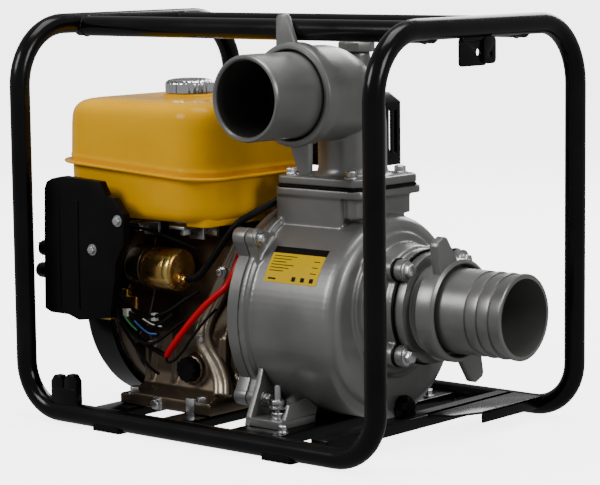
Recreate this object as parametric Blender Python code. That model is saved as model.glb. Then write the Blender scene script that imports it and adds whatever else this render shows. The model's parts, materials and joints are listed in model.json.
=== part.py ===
"""Gas engine trash pump in a tube frame.

All sizes are in millimetres in this file; make() turns them into Blender metres.
+X runs from the recoil starter to the suction port, -Y is the starter motor side, +Z is up.
The origin is the middle of the frame at floor level.
"""

import math

import bmesh
import bpy
from mathutils import Matrix, Vector

MM = 0.001
GAP = 0.3
DETAIL = 0.75  # the share of a round piece's usual sides that it gets here

# Frame
TUBE_R = 13.0
FRAME_Y = 202.5
LEFT_X = -313.7
RIGHT_X = 263.0
BOTTOM_Z = 14.5
END_TOP_Z = 506.0
RAIL_Z = 502.0
RAIL_Y = 92.0
TOP_BEND_R = 78.0
LOW_BEND_R = 60.0
FOOT_X = (-161.0, 121.0)
PLATE = 3.0
CROSS_TOP = 17.7

# Pump
SHAFT_Z = 146.0
SUCTION_Z = 164.0
NECK_X = 68.0
NECK_Y = 59.0
NECK_TOP = 306.0
DRUM_R = 127.0
DRUM_BACK = -8.0
DRUM_FRONT = 138.0
BOSS_FRONT = 182.0
WALL = 8.0
TAIL_R = 52.0
TAIL_BORE = 45.0
NUT_R = 63.0
SUCTION_TIP = 326.6
SUCTION_EAR_R = 98.0
DISCHARGE_Z = 425.0
DISCHARGE_TIP = -201.0
DISCHARGE_NUT_FACE = -121.0
DISCHARGE_EAR_R = 98.0
ELBOW_SINK = 44.0
PLUG_AT = (NECK_X + 1.0, 8.0)
PLUG_LOW = 471.0

# Engine
CYLINDER_X = -132.0
CYLINDER_TILT = math.radians(25.0)
BORE_R = 38.3
STROKE = 58.0
TANK_X = (-290.0, -42.0)
TANK_Y = (-160.0, 50.0)
CAP_AT = (-155.0, -55.0)
TANK_SEAM = (334.0, 320.0)
TANK_BOTTOM = 262.0
STARTER_Y = -112.0
STARTER_Z = 197.0
FILLER_AT = (-113.0, 70.0)
KEY_AT = (-176.0, 219.0)
BUTTON_AT = (-176.0, 190.0)


def clear_scene():
    for item in list(bpy.data.objects):
        bpy.data.objects.remove(item, do_unlink=True)


def material(name, colour, roughness, metallic):
    mat = bpy.data.materials.get(name)
    if mat:
        return mat
    mat = bpy.data.materials.new(name)
    mat.use_nodes = True
    shader = mat.node_tree.nodes["Principled BSDF"]
    shader.inputs["Base Color"].default_value = (*colour, 1.0)
    shader.inputs["Roughness"].default_value = roughness
    shader.inputs["Metallic"].default_value = metallic
    return mat


def black_paint():
    return material("black_paint", (0.012, 0.013, 0.015), 0.25, 0.0)


def silver_paint():
    return material("silver_paint", (0.20, 0.20, 0.21), 0.42, 0.6)


def bronze_paint():
    return material("bronze_paint", (0.10, 0.075, 0.055), 0.3, 0.8)


def yellow_paint():
    return material("yellow_paint", (0.80, 0.42, 0.01), 0.2, 0.0)


def black_plastic():
    return material("black_plastic", (0.015, 0.015, 0.017), 0.5, 0.0)


def rubber():
    return material("rubber", (0.02, 0.02, 0.02), 0.8, 0.0)


def steel():
    return material("steel", (0.55, 0.55, 0.56), 0.3, 1.0)


def chrome():
    return material("chrome", (0.8, 0.8, 0.82), 0.08, 1.0)


def zinc_gold():
    return material("zinc_gold", (0.62, 0.42, 0.15), 0.3, 0.9)


def cast_iron():
    return material("cast_iron", (0.10, 0.10, 0.105), 0.55, 0.7)


def turn_to(axis, a, u, v):
    """A point with coordinate a along the axis, and u, v on the other two in X, Y, Z order."""
    if axis == "X":
        return Vector((a, u, v))
    if axis == "Y":
        return Vector((u, a, v))
    return Vector((u, v, a))


def prism(points, low, high, axis="Z"):
    """A flat outline extruded along an axis."""
    bm = bmesh.new()
    ends = [[bm.verts.new(turn_to(axis, a, *p)) for p in points] for a in (low, high)]
    for ring in ends:
        bm.faces.new(ring)
    count = len(points)
    for i in range(count):
        j = (i + 1) % count
        bm.faces.new((ends[0][i], ends[0][j], ends[1][j], ends[1][i]))
    return tidy(bm)


def tidy(bm):
    bmesh.ops.recalc_face_normals(bm, faces=bm.faces)
    return bm


def box(low, high):
    (x0, y0, z0), (x1, y1, z1) = low, high
    return prism([(x0, y0), (x1, y0), (x1, y1), (x0, y1)], z0, z1)


def rounded(x0, y0, x1, y1, radius, steps=4):
    """A rectangle outline with round corners."""
    points = []
    corners = ((x1, y1, 0), (x0, y1, 90), (x0, y0, 180), (x1, y0, 270))
    for x, y, start in corners:
        cx = x - radius if x == x1 else x + radius
        cy = y - radius if y == y1 else y + radius
        for k in range(steps + 1):
            angle = math.radians(start + 90.0 * k / steps)
            points.append((cx + radius * math.cos(angle), cy + radius * math.sin(angle)))
    return points


def sides(usual):
    """An even number of sides for a round piece; a small piece keeps its own."""
    return usual if usual <= 12 else 2 * round(usual * DETAIL / 2)


def circle(cx, cy, radius, steps=24, start=0.0):
    steps = sides(steps)
    angles = [math.radians(start) + 2 * math.pi * k / steps for k in range(steps)]
    return [(cx + radius * math.cos(a), cy + radius * math.sin(a)) for a in angles]


def disc(axis, centre, radius, low, high, steps=24, start=0.0):
    """A straight cylinder; centre gives the two coordinates across the axis."""
    return prism(circle(*centre, radius, steps, start), low, high, axis)


def turned(profile, axis, centre, steps=32):
    """A closed (position, radius) outline spun about an axis."""
    bm = bmesh.new()
    rings = []
    for a, radius in profile:
        if radius < 1e-6:
            rings.append([bm.verts.new(turn_to(axis, a, *centre))])
        else:
            rings.append([bm.verts.new(turn_to(axis, a, *p)) for p in circle(*centre, radius, steps)])
    for ring, after in zip(rings, rings[1:] + rings[:1]):
        count = max(len(ring), len(after))
        if count == 1:
            continue
        for k in range(count):
            n = (k + 1) % count
            if len(ring) == 1:
                bm.faces.new((ring[0], after[k], after[n]))
            elif len(after) == 1:
                bm.faces.new((ring[k], after[0], ring[n]))
            else:
                bm.faces.new((ring[k], after[k], after[n], ring[n]))
    return tidy(bm)


def fillet_path(corners, radii, steps=5):
    """A polyline through the corners with a round bend at each inner one."""
    points = [Vector(corners[0])]
    for before, corner, after, radius in zip(corners, corners[1:], corners[2:], radii):
        before, corner, after = Vector(before), Vector(corner), Vector(after)
        into = (before - corner).normalized()
        out = (after - corner).normalized()
        half = into.angle(out) / 2
        reach = radius / math.tan(half)
        centre = corner + (into + out).normalized() * (radius / math.sin(half))
        first = corner + into * reach - centre
        last = corner + out * reach - centre
        turn = first.rotation_difference(last)
        for k in range(steps + 1):
            part = turn.copy()
            part.identity()
            points.append(centre + part.slerp(turn, k / steps) @ first)
    points.append(Vector(corners[-1]))
    return points


def smooth_path(points, count):
    """Points on a Catmull-Rom curve through the given ones."""
    knots = [Vector(p) for p in points]
    knots = [2 * knots[0] - knots[1]] + knots + [2 * knots[-1] - knots[-2]]
    result = []
    spans = len(knots) - 3
    for k in range(count + 1):
        place = min(k * spans / count, spans - 1e-6)
        i, t = int(place), place % 1.0
        p0, p1, p2, p3 = knots[i : i + 4]
        result.append(
            0.5 * (2 * p1 + (p2 - p0) * t + (2 * p0 - 5 * p1 + 4 * p2 - p3) * t**2
                   + (3 * p1 - p0 - 3 * p2 + p3) * t**3)
        )
    return result


def sweep(path, radius, sides=14):
    """A round bar along a path, with flat ends."""
    bm = bmesh.new()
    normal = None
    rings = []
    for i, point in enumerate(path):
        ahead = (path[min(i + 1, len(path) - 1)] - path[max(i - 1, 0)]).normalized()
        if normal is None:
            normal = ahead.orthogonal().normalized()
        normal = (normal - ahead * normal.dot(ahead)).normalized()
        across = ahead.cross(normal)
        ring = []
        for k in range(sides):
            angle = 2 * math.pi * k / sides
            ring.append(bm.verts.new(point + (normal * math.cos(angle) + across * math.sin(angle)) * radius))
        rings.append(ring)
    for ring, after in zip(rings, rings[1:]):
        for k in range(sides):
            n = (k + 1) % sides
            bm.faces.new((ring[k], ring[n], after[n], after[k]))
    bm.faces.new(rings[0])
    bm.faces.new(rings[-1])
    return tidy(bm)


def loft(sections):
    """Rings of equal point count, joined in order and capped."""
    bm = bmesh.new()
    rings = [[bm.verts.new(Vector(p)) for p in section] for section in sections]
    for ring, after in zip(rings, rings[1:]):
        for k in range(len(ring)):
            n = (k + 1) % len(ring)
            bm.faces.new((ring[k], ring[n], after[n], after[k]))
    bm.faces.new(rings[0])
    bm.faces.new(rings[-1])
    return tidy(bm)


def moved(bm, matrix):
    bmesh.ops.transform(bm, matrix=matrix, verts=bm.verts)
    return bm


def spun(bm, axis, degrees, centre):
    shift = Matrix.Translation(Vector(centre))
    return moved(bm, shift @ Matrix.Rotation(math.radians(degrees), 4, axis) @ shift.inverted())


def holder(bm):
    mesh = bpy.data.meshes.new("holder")
    bm.to_mesh(mesh)
    bm.free()
    item = bpy.data.objects.new("holder", mesh)
    bpy.context.collection.objects.link(item)
    return item


def combine(base, tools, operation, solver="EXACT"):
    """Base united with, or cut by, each tool in turn."""
    for tool in tools:
        first, second = holder(base), holder(tool)
        boolean = first.modifiers.new("cut", "BOOLEAN")
        boolean.operation = operation
        boolean.solver = solver
        boolean.object = second
        graph = bpy.context.evaluated_depsgraph_get()
        base = bmesh.new()
        base.from_mesh(first.evaluated_get(graph).to_mesh())
        for item in (first, second):
            mesh = item.data
            bpy.data.objects.remove(item, do_unlink=True)
            bpy.data.meshes.remove(mesh)
    bmesh.ops.remove_doubles(base, verts=base.verts, dist=0.002)
    bmesh.ops.dissolve_limit(base, angle_limit=0.002, verts=base.verts, edges=base.edges)
    return tidy(base)


def join(base, *tools, solver="EXACT"):
    return combine(base, tools, "UNION", solver)


def cut(base, *tools, solver="EXACT"):
    return combine(base, tools, "DIFFERENCE", solver)


def make(name, bm, mat, origin=(0, 0, 0), sharp=32.0):
    """Turns millimetre geometry into a named object whose origin is at the given point."""
    bmesh.ops.translate(bm, verts=bm.verts, vec=-Vector(origin))
    bmesh.ops.scale(bm, verts=bm.verts, vec=(MM, MM, MM))
    mesh = bpy.data.meshes.new(name)
    bm.to_mesh(mesh)
    bm.free()
    mesh.materials.append(mat)
    mesh.shade_smooth()
    mesh.set_sharp_from_angle(angle=math.radians(sharp))
    item = bpy.data.objects.new(name, mesh)
    item.location = Vector(origin) * MM
    bpy.context.collection.objects.link(item)
    return item


# Frame


def frame_half(name, side):
    corners = [
        (LEFT_X, side * GAP, END_TOP_Z),
        (LEFT_X, side * FRAME_Y, END_TOP_Z),
        (LEFT_X, side * FRAME_Y, BOTTOM_Z),
        (RIGHT_X, side * FRAME_Y, BOTTOM_Z),
        (RIGHT_X, side * FRAME_Y, END_TOP_Z),
        (RIGHT_X, side * GAP, END_TOP_Z),
    ]
    radii = (TOP_BEND_R, LOW_BEND_R, LOW_BEND_R, TOP_BEND_R)
    bar = sweep(fillet_path(corners, radii), TUBE_R, 14)
    if side < 0:
        bar = join(bar, rail_lugs())
    make(name, bar, black_paint())


def top_rail(name, y):
    """A lengthwise rail whose ends are coped to the round end rails."""
    bar = disc("X", (y, RAIL_Z), TUBE_R, LEFT_X + 6, RIGHT_X - 6, 16)
    ends = [disc("Y", (x, END_TOP_Z), TUBE_R + GAP, y - 30, y + 30, 24) for x in (LEFT_X, RIGHT_X)]
    make(name, cut(bar, *ends), black_paint())


def channel(x0, x1, z0, z1, y):
    """An inverted channel lying across the frame."""
    outline = [
        (x0, z0), (x0, z1), (x1, z1), (x1, z0),
        (x1 - PLATE, z0), (x1 - PLATE, z1 - PLATE), (x0 + PLATE, z1 - PLATE), (x0 + PLATE, z0),
    ]
    return prism(outline, -y, y, "Y")


def cross_members():
    reach = FRAME_Y - TUBE_R - 0.6
    bars = {
        "engine_cross_member_left": (-228.0, -184.0, 4.0, CROSS_TOP),
        "engine_cross_member_right": (-108.0, -64.0, 4.0, CROSS_TOP),
        "pump_cross_member": (6.0, 84.0, 4.0, CROSS_TOP),
    }
    for name, size in bars.items():
        make(name, channel(*size, reach), black_paint())


def front_base_plate():
    """The channel under the suction end, with a flanged plate along its far part."""
    reach = FRAME_Y - TUBE_R - 0.6
    low, high = 14.0, 28.6
    bar = channel(154.0, 180.0, low, high, reach)
    sheet = prism([(170, 5), (180, 5), (206, 22), (222, 62), (222, reach), (170, reach)],
                  high - PLATE, high)
    edge = box((222 - PLATE, 62, low), (222, reach, high))
    make("front_base_plate", join(bar, sheet, edge), black_paint())


def rubber_feet():
    for x, end in zip(FOOT_X, ("left", "right")):
        for side, near in ((-1, "near"), (1, "far")):
            y = side * FRAME_Y
            block = prism(rounded(x - 24, y - 12, x + 24, y + 12, 4, 2), 0.0, 9.0)
            groove = disc("X", (y, BOTTOM_Z), TUBE_R + GAP, x - 40, x + 40, 24)
            make(f"rubber_foot_{near}_{end}", cut(block, groove), rubber())


def end_bracket():
    """A hanging bracket with a hole, welded under the suction end rail."""
    x = RIGHT_X + 2
    plate = prism(rounded(-46, 460, 6, 492, 4, 2), x, x + PLATE, "X")
    lug = prism(rounded(-4, 462, 20, 492, 4, 2), x + 1.5, x + 7, "X")
    hole = disc("X", (-10, 476), 4.5, x - 5, x + 12, 16)
    saddle = disc("Y", (RIGHT_X, END_TOP_Z), TUBE_R + GAP, -60, 40, 24)
    make("end_bracket", cut(join(plate, lug), hole, saddle), black_paint())


def rail_lugs():
    """Two upright round-topped lugs, welded on the near bottom rail."""
    y = -FRAME_Y
    lobes = []
    for x, top in ((-253, 62), (-229, 65)):
        outline = [
            (x - 11, 20), (x - 11, top - 8), (x - 5, top), (x + 5, top), (x + 11, top - 8), (x + 11, 20),
        ]
        lobes.append(prism(outline, y - 6, y + 6, "Y"))
    return join(lobes[0], lobes[1], box((-260, y - 6, 22), (-222, y + 6, 48)))


# Pump


def drum_point(radius, degrees):
    angle = math.radians(degrees)
    return radius * math.cos(angle), SHAFT_Z + radius * math.sin(angle)


EAR_ANGLES = (43.0, 137.0, 222.0, 318.0)
EAR_REACH = DRUM_R + 20.0


def ears(low, high):
    """Round-ended lugs that stand out from the rim of the casing's flange."""
    shapes = []
    for angle in EAR_ANGLES:
        end = [(EAR_REACH + 12 * math.sin(math.radians(t)), -12 * math.cos(math.radians(t)))
               for t in range(0, 181, 30)]
        outline = [(108, -30), *end, (108, 30)]
        lug = prism([(u, SHAFT_Z + v) for u, v in outline], low, high, "X")
        shapes.append(spun(lug, "X", angle, (0, 0, SHAFT_Z)))
    return shapes


def stepped(x0, x1, x2, wide, narrow):
    """An outline of full width up to x1 and narrower from there to x2."""
    return [
        (x0, -wide), (x1, -wide), (x1, -narrow), (x2, -narrow),
        (x2, narrow), (x1, narrow), (x1, wide), (x0, wide),
    ]


def pump_casing():
    centre = (0.0, SHAFT_Z)
    drum = turned(
        [
            (DRUM_BACK, 0), (DRUM_BACK, 134), (0, 134), (3, DRUM_R), (DRUM_FRONT - 10, DRUM_R),
            (DRUM_FRONT - 3, DRUM_R - 3), (DRUM_FRONT, DRUM_R - 10), (DRUM_FRONT, 0),
        ],
        "X", centre, 48,
    )
    boss = disc("X", (0, SUCTION_Z), 75, DRUM_FRONT - 5, BOSS_FRONT - 12, 32)
    rim = disc("X", (0, SUCTION_Z), 70, BOSS_FRONT - 13, BOSS_FRONT, 32)
    lugs = [
        disc("X", (57 * sy, SUCTION_Z + 52 * sz), 14, DRUM_FRONT - 5, BOSS_FRONT, 12)
        for sy in (-1, 1) for sz in (-1, 1)
    ]
    neck = prism(stepped(DRUM_BACK, 97, 118, NECK_Y, 40), 190, NECK_TOP)
    lip = prism(rounded(DRUM_BACK, -62, 129, 62, 7, 3), NECK_TOP - 10, NECK_TOP)
    bosses = [disc("Z", (108, y), 11, 271, NECK_TOP, 16) for y in (-46, 46)]
    solid = join(drum, boss, rim, *lugs, neck, lip, *bosses, *ears(DRUM_BACK, 6), solver="MANIFOLD")
    chamber = disc("X", centre, DRUM_R - WALL, DRUM_BACK - 5, DRUM_FRONT - WALL, 40)
    bore = disc("X", (0, SUCTION_Z), TAIL_BORE + 2, DRUM_FRONT - 20, BOSS_FRONT + 5, 32)
    duct = prism(stepped(DRUM_BACK + 10, 97 - WALL, 118 - WALL, NECK_Y - WALL, 40 - WALL), 200, NECK_TOP + 5)
    drain = disc("X", (6, 33), 8, DRUM_FRONT - 20, DRUM_FRONT + 5, 16)
    solid = cut(solid, chamber, bore, duct, drain, solver="MANIFOLD")
    make("pump_casing", solid, silver_paint())


def casing_back_plate():
    low, high = -28.0, DRUM_BACK - GAP
    plate = disc("X", (0, SHAFT_Z), 134, low, high, 48)
    shaft_hole = disc("X", (0, SHAFT_Z), 24, low - 5, high + 5, 24)
    make("casing_back_plate", cut(join(plate, *ears(low, high)), shaft_hole), silver_paint())


def pump_foot(name, side):
    """A cast leg that carries the casing on the cross member."""

    def outward(points):
        return [(y * -side, z) for y, z in points]

    back = DRUM_BACK + 14.6
    leg = prism(outward([(-72, 18), (-140, 18), (-136, 30), (-118, 68), (-111, 90), (-96, 98), (-60, 98)]),
                back, back + 8, "X")
    rib = prism(outward([(-72, 18), (-132, 18), (-119, 46), (-60, 50)]), 56, 62, "X")
    near, far = sorted((-138 * -side, -72 * -side))
    flange = box((back, near, 18), (64, far, 28))
    relief = disc("X", (0, SHAFT_Z), DRUM_R + 0.6, -20, 120, 56)
    make(name, cut(join(leg, flange, rib), relief), silver_paint())


def suction_flange():
    """The bolted inlet ring, threaded outside for the claw nut."""
    low = BOSS_FRONT + 3 + 2 * GAP
    ring = disc("X", (0, SUCTION_Z), 68, low, low + 12, 32)
    lugs = [
        disc("X", (57 * sy, SUCTION_Z + 52 * sz), 13, low, low + 10, 12)
        for sy in (-1, 1) for sz in (-1, 1)
    ]
    barrel = disc("X", (0, SUCTION_Z), 55, low, 222, 32)
    bore = disc("X", (0, SUCTION_Z), TAIL_BORE, low - 5, 240, 28)
    make("suction_flange", cut(join(ring, *lugs, barrel), bore), silver_paint())


def suction_gasket():
    low = BOSS_FRONT + GAP
    ring = disc("X", (0, SUCTION_Z), 71, low, low + 3, 28)
    lugs = [
        disc("X", (57 * sy, SUCTION_Z + 52 * sz), 14.5, low, low + 3, 12)
        for sy in (-1, 1) for sz in (-1, 1)
    ]
    bore = disc("X", (0, SUCTION_Z), 50, low - 5, low + 10, 24)
    make("suction_gasket", cut(join(ring, *lugs), bore), rubber())


def wing_outline(sign, radius, width, tip):
    """One flat wing of a claw nut, on the upper or lower side of its axis."""
    points = [
        (-width, 57), (width, 57), (tip * 1.1, radius - 3), (tip * 0.8, radius),
        (-tip * 0.8, radius), (-tip * 1.1, radius - 3),
    ]
    return [(u * sign, v * sign) for u, v in points]


def claw_nut(name, axis, centre, faces, ear_span, tilt, ear, bore, mat):
    """faces: back and front of the ring; ear_span: the wings' thickness; ear: reach, root and tip."""
    back, front = faces
    step = 2.0 if front > back else -2.0
    ring = turned(
        [
            (back, bore), (back, NUT_R - 3), (back + 1.5 * step, NUT_R), (front - 2 * step, NUT_R),
            (front, NUT_R - 3), (front, bore),
        ],
        axis, centre, 32,
    )
    parts = []
    for sign in (1, -1):
        outline = [(centre[0] + u, centre[1] + v) for u, v in wing_outline(sign, *ear)]
        wing = prism(outline, *ear_span, axis)
        parts.append(spun(wing, axis, tilt, turn_to(axis, back, *centre)))
    hollow = disc(axis, centre, bore, min(faces) - 5, max(faces) + 5, 32)
    body = cut(join(ring, *parts), hollow)
    make(name, body, mat, turn_to(axis, (back + front) / 2, *centre))


def suction_side():
    centre = (0.0, SUCTION_Z)
    claw_nut(
        "suction_claw_nut", "X", centre, (210.0, 237.0), (222.0, 234.0), 23.0,
        (SUCTION_EAR_R, 19.0, 10.5), 56.5, silver_paint(),
    )
    barbs = [(SUCTION_TIP, TAIL_BORE + 1.5), (SUCTION_TIP, TAIL_R - 1)]
    for k in range(3):
        x = SUCTION_TIP - 4 - 17 * k
        barbs += [(x, TAIL_R), (x - 14, TAIL_R - 2)]
    profile = barbs + [(222.4, TAIL_R), (222.4, TAIL_BORE)]
    make("suction_hose_tail", turned(profile, "X", centre, 36), silver_paint())


def check_valve():
    """A rubber flap hung inside the suction boss."""
    x = DRUM_FRONT + 6
    flap = disc("X", (0, SUCTION_Z - 1), 41, x, x + 5, 28)
    hinge = box((x, -12, SUCTION_Z + 34), (x + 5, 12, SUCTION_Z + 43))
    make("suction_check_valve", join(flap, hinge), rubber(), (x + 2.5, 0, SUCTION_Z + 41))


def elbow_gasket():
    low = NECK_TOP + GAP
    sheet = prism(flange_outline(), low, low + 3)
    inner = prism(rounded(8, -46, 106, 46, 8, 3), low - 5, low + 10)
    make("elbow_gasket", cut(sheet, inner), rubber())


def flange_outline():
    """The elbow's foot: long corners on the suction side, small ones on the engine side."""
    return [(-3, -59), (0, -62), (117, -62), (130, -49), (130, 49), (117, 62), (0, 62), (-3, 59)]


def elbow_rings(radius, front, back, steps):
    """Cross sections of the horizontal branch, sinking and shrinking towards its back."""
    start, count = -60.0, 7
    rings = [[(NECK_X + x, front, DISCHARGE_Z + z) for x, z in circle(0, 0, radius, steps)]]
    for k in range(count):
        t = math.sin(math.radians(90 * k / (count - 0.6)))
        y = start + (back - start) * t
        size = radius * math.sqrt(1 - t * t)
        sink = ELBOW_SINK * t**2
        rings.append(
            [(NECK_X + x, y, DISCHARGE_Z - sink + z) for x, z in circle(0, 0, size, steps)]
        )
    return rings


def standing_pipe(radius, low, steps):
    """A pipe up the neck's axis with a domed top at the elbow's centre."""
    centre = DISCHARGE_Z - ELBOW_SINK
    dome = [
        (centre + radius * math.sin(math.radians(a)), radius * math.cos(math.radians(a)))
        for a in (0, 30, 60)
    ]
    top = (centre + radius, 0)
    return turned([(low, 0), (low, radius), *dome, top], "Z", (NECK_X, 0), steps)


def discharge_elbow():
    low = NECK_TOP + 3 + 2 * GAP
    flange = prism(flange_outline(), low, low + 11)
    branch = loft(elbow_rings(58, -97, 44, 32))
    boss = disc("Z", PLUG_AT, 17, 430, PLUG_LOW, 20)
    thread = disc("Y", (NECK_X, DISCHARGE_Z), 53.6, -107, -90, 32)
    solid = join(flange, standing_pipe(43, low, 32), branch, boss, thread)
    inner_branch = loft(elbow_rings(46, -130, 36, 28))
    port = disc("Z", PLUG_AT, 9, 425, 485, 12)
    solid = cut(solid, standing_pipe(37, low - 5, 28), inner_branch, port)
    make("discharge_elbow", solid, silver_paint())


def priming_plug():
    low = PLUG_LOW + GAP
    body = turned(
        [(low, 0), (low, 19), (low + 1.5, 23), (low + 12, 23), (low + 14, 20), (low + 14, 0)],
        "Z", PLUG_AT, 8,
    )
    stem = disc("Z", PLUG_AT, 7.8, low - 9, low + 2, 16)
    make("priming_plug", join(body, stem), silver_paint(), (*PLUG_AT, low))


def discharge_side():
    centre = (NECK_X, DISCHARGE_Z)
    back = -97.4
    claw_nut(
        "discharge_claw_nut", "Y", centre, (back, DISCHARGE_NUT_FACE), (-114.5, -105.8), -10.0,
        (DISCHARGE_EAR_R, 15.5, 7.7), 55.0, silver_paint(),
    )
    profile = [
        (-107.5, TAIL_BORE + 2), (-107.5, TAIL_R), (DISCHARGE_TIP + 3, TAIL_R),
        (DISCHARGE_TIP, TAIL_R - 2), (DISCHARGE_TIP, TAIL_BORE + 3), (DISCHARGE_TIP + 3, TAIL_BORE + 1),
    ]
    make("discharge_hose_tail", turned(profile, "Y", centre, 36), silver_paint())


def drain_plug():
    low = DRUM_FRONT + GAP
    centre = (6.0, 33.0)
    cap = turned([(low, 0), (low, 15), (low + 3, 16), (low + 12, 14), (low + 14, 12), (low + 14, 0)],
                 "X", centre, 16)
    stem = disc("X", centre, 7.1, low - 7, low + 2, 16)
    make("drain_plug", join(cap, stem), black_plastic(), (low, *centre))


def volute():
    """The inner scroll round the impeller, held inside the casing."""
    centre = (0.0, SHAFT_Z)
    outer = turned([(2, 0), (2, 100), (8, 104), (66, 104), (72, 98), (72, 0)], "X", centre, 28)
    chamber = disc("X", centre, 90, -5, 64, 24)
    eye = disc("X", (0, SHAFT_Z), 40, 50, 90, 20)
    outlet = box((14, -30, SHAFT_Z + 60), (56, 30, SHAFT_Z + 120))
    solid = cut(outer, chamber, eye, outlet, solver="MANIFOLD")
    make("volute", solid, cast_iron())


def impeller():
    centre = (0.0, SHAFT_Z)
    disc_back = disc("X", centre, 84, 12, 18, 28)
    hub = turned([(10, 0), (10, 24), (30, 20), (46, 12), (46, 0)], "X", centre, 16)
    blades = []
    for k in range(3):
        outline = [
            (14, -4), (50, 10), (82, 4), (81, -4), (50, 2), (14, -12),
        ]
        blade = prism([(u, SHAFT_Z + v) for u, v in outline], 16, 46, "X")
        blades.append(spun(blade, "X", 120 * k, (0, 0, SHAFT_Z)))
    shaft_hole = disc("X", centre, 11, 0, 42, 24)
    make("impeller", cut(join(disc_back, hub, *blades), shaft_hole), cast_iron(), (30, 0, SHAFT_Z))


def mechanical_seal():
    ring = turned([(-24, 11.5), (-24, 22), (-4, 22), (-4, 18), (6, 18), (6, 11.5)],
                  "X", (0, SHAFT_Z), 28)
    make("mechanical_seal", ring, material("seal_ceramic", (0.7, 0.68, 0.62), 0.3, 0.0),
         (0, 0, SHAFT_Z))


# Engine


def along_cylinder(bm):
    """Moves a piece built up the +Z axis at the origin onto the cylinder's axis."""
    turn = Matrix.Rotation(-(math.pi / 2 - CYLINDER_TILT), 4, "X")
    return moved(bm, Matrix.Translation((CYLINDER_X, 0, SHAFT_Z)) @ turn)


CASE_OUTLINE = [
    (-130, 18), (-130, 34), (-104, 44), (-98, 60), (-96, 110), (-80, 160), (-76, 228), (-66, 236),
    (48, 236), (66, 200), (80, 150), (84, 60), (96, 44), (112, 34), (112, 18),
]


def crankcase():
    block = prism(CASE_OUTLINE, -201, -62, "X")
    bell = cut(disc("X", (0, SHAFT_Z), 130, -226, -200, 48), box((-230, -150, 0), (-190, 150, 20)),
               box((-230, -150, 259), (-190, 150, 300)))
    feet = box((-218, -130, 18), (-60, 112, 32))
    deck = 134
    barrel = along_cylinder(disc("Z", (0, 0), 50, 40, deck, 24))
    fins = [
        along_cylinder(prism(rounded(-58, -56, 58, 56, 16, 2), h, h + 4)) for h in range(88, 130, 14)
    ]
    filler = disc("Y", FILLER_AT, 18, -106, -80, 20)
    solid = join(block, bell, feet, barrel, *fins, filler)
    chamber = prism([(-82, 40), (-84, 110), (-68, 160), (-64, 222), (40, 222), (60, 150), (66, 40)],
                    -190, -50, "X")
    bore = along_cylinder(disc("Z", (0, 0), BORE_R, 30, deck + 5, 24))
    main_bearing = disc("X", (0, SHAFT_Z), 17.5, -230, -180, 24)
    oil_hole = disc("Y", FILLER_AT, 10, -120, -70, 16)
    make("crankcase", cut(solid, chamber, bore, main_bearing, oil_hole), bronze_paint())


def crankcase_cover():
    """The ribbed side cover that the pump bolts to."""
    x0, x1 = -62 + GAP, -28.4

    def section(x, scale):
        return [(x, y * scale, SHAFT_Z - 6 + (z - SHAFT_Z + 6) * scale)
                for y, z in ((-88, 46), (-88, 120), (-76, 170), (-72, 214), (-60, 226),
                             (44, 226), (58, 200), (72, 150), (76, 46))]

    body = loft([section(x0, 1.0), section(x0 + 10, 1.0), section(x1, 0.74)])
    ribs = [
        spun(box((x0 + 2, -4, SHAFT_Z + 40), (x1, 4, SHAFT_Z + 78)), "X", a, (0, 0, SHAFT_Z))
        for a in (30, 60, 90, 120)
    ]
    hollow = disc("X", (0, SHAFT_Z), 50, x0 - 5, x0 + 14, 28)
    shaft_hole = disc("X", (0, SHAFT_Z), 17.5, x0 - 5, x1 + 5, 24)
    make("crankcase_cover", cut(join(body, *ribs), hollow, shaft_hole), bronze_paint())


def cylinder_head():
    low = 134 + GAP
    slabs = [prism(rounded(-50, -50, 50, 50, 10, 2), low, low + 30)]
    slabs += [prism(rounded(-60, -58, 60, 58, 14, 2), low + h, low + h + 4) for h in (2, 12, 22)]
    plug_hole = disc("Y", (34, low + 14), 8, -70, -44, 12)
    body = join(slabs[0], *slabs[1:])
    make("cylinder_head", along_cylinder(cut(body, plug_hole)), bronze_paint())


def rocker_cover():
    low = 134 + 30 + 2 * GAP
    base = prism(rounded(-50, -42, 50, 42, 10, 3), low, low + 6)
    dome = prism(rounded(-42, -34, 42, 34, 12, 3), low + 5, low + 22)
    make("rocker_cover", along_cylinder(join(base, dome)), bronze_paint())


def spark_plug_cap():
    low = 134 + GAP
    body = disc("Y", (34, low + 14), 7.5, -76, -45, 14)
    boot = disc("Z", (34, -72), 9, low + 2, low + 34, 14)
    make("spark_plug_cap", along_cylinder(join(body, boot)), rubber())


def crankshaft():
    axis = (0.0, SHAFT_Z)
    main = disc("X", axis, 15, -270, -151, 24)
    output = disc("X", axis, 15, -113, -29, 24)
    pump_end = disc("X", axis, 10.7, -30, 41, 24)
    webs = [disc("X", axis, 36, low, low + 14, 28) for low in (-164, -114)]
    reach = STROKE / 2 * 0.86
    throw = (reach * math.cos(CYLINDER_TILT), SHAFT_Z + reach * math.sin(CYLINDER_TILT))
    pin = disc("X", throw, 11, -152, -112, 20)
    solid = join(main, webs[0], pin, webs[1], output, pump_end)
    make("crankshaft", solid, steel(), (-150, 0, SHAFT_Z))


def flywheel():
    axis = (0.0, SHAFT_Z)
    low, high = -262.0, -228.0
    rim = turned([(low, 15.3), (low, 40), (low + 6, 46), (low + 6, 98), (low, 102), (low, 106),
                  (high, 106), (high, 95), (high - 16, 92), (high - 16, 30), (high, 26), (high, 15.3)],
                 "X", axis, 24)
    fins = []
    for k in range(6):
        fin = box((low - 6, -2, SHAFT_Z + 50), (low + 8, 2, SHAFT_Z + 97))
        fins.append(spun(fin, "X", 60 * k, (0, 0, SHAFT_Z)))
    make("flywheel", join(rim, *fins), cast_iron(), (-246, 0, SHAFT_Z))


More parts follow.
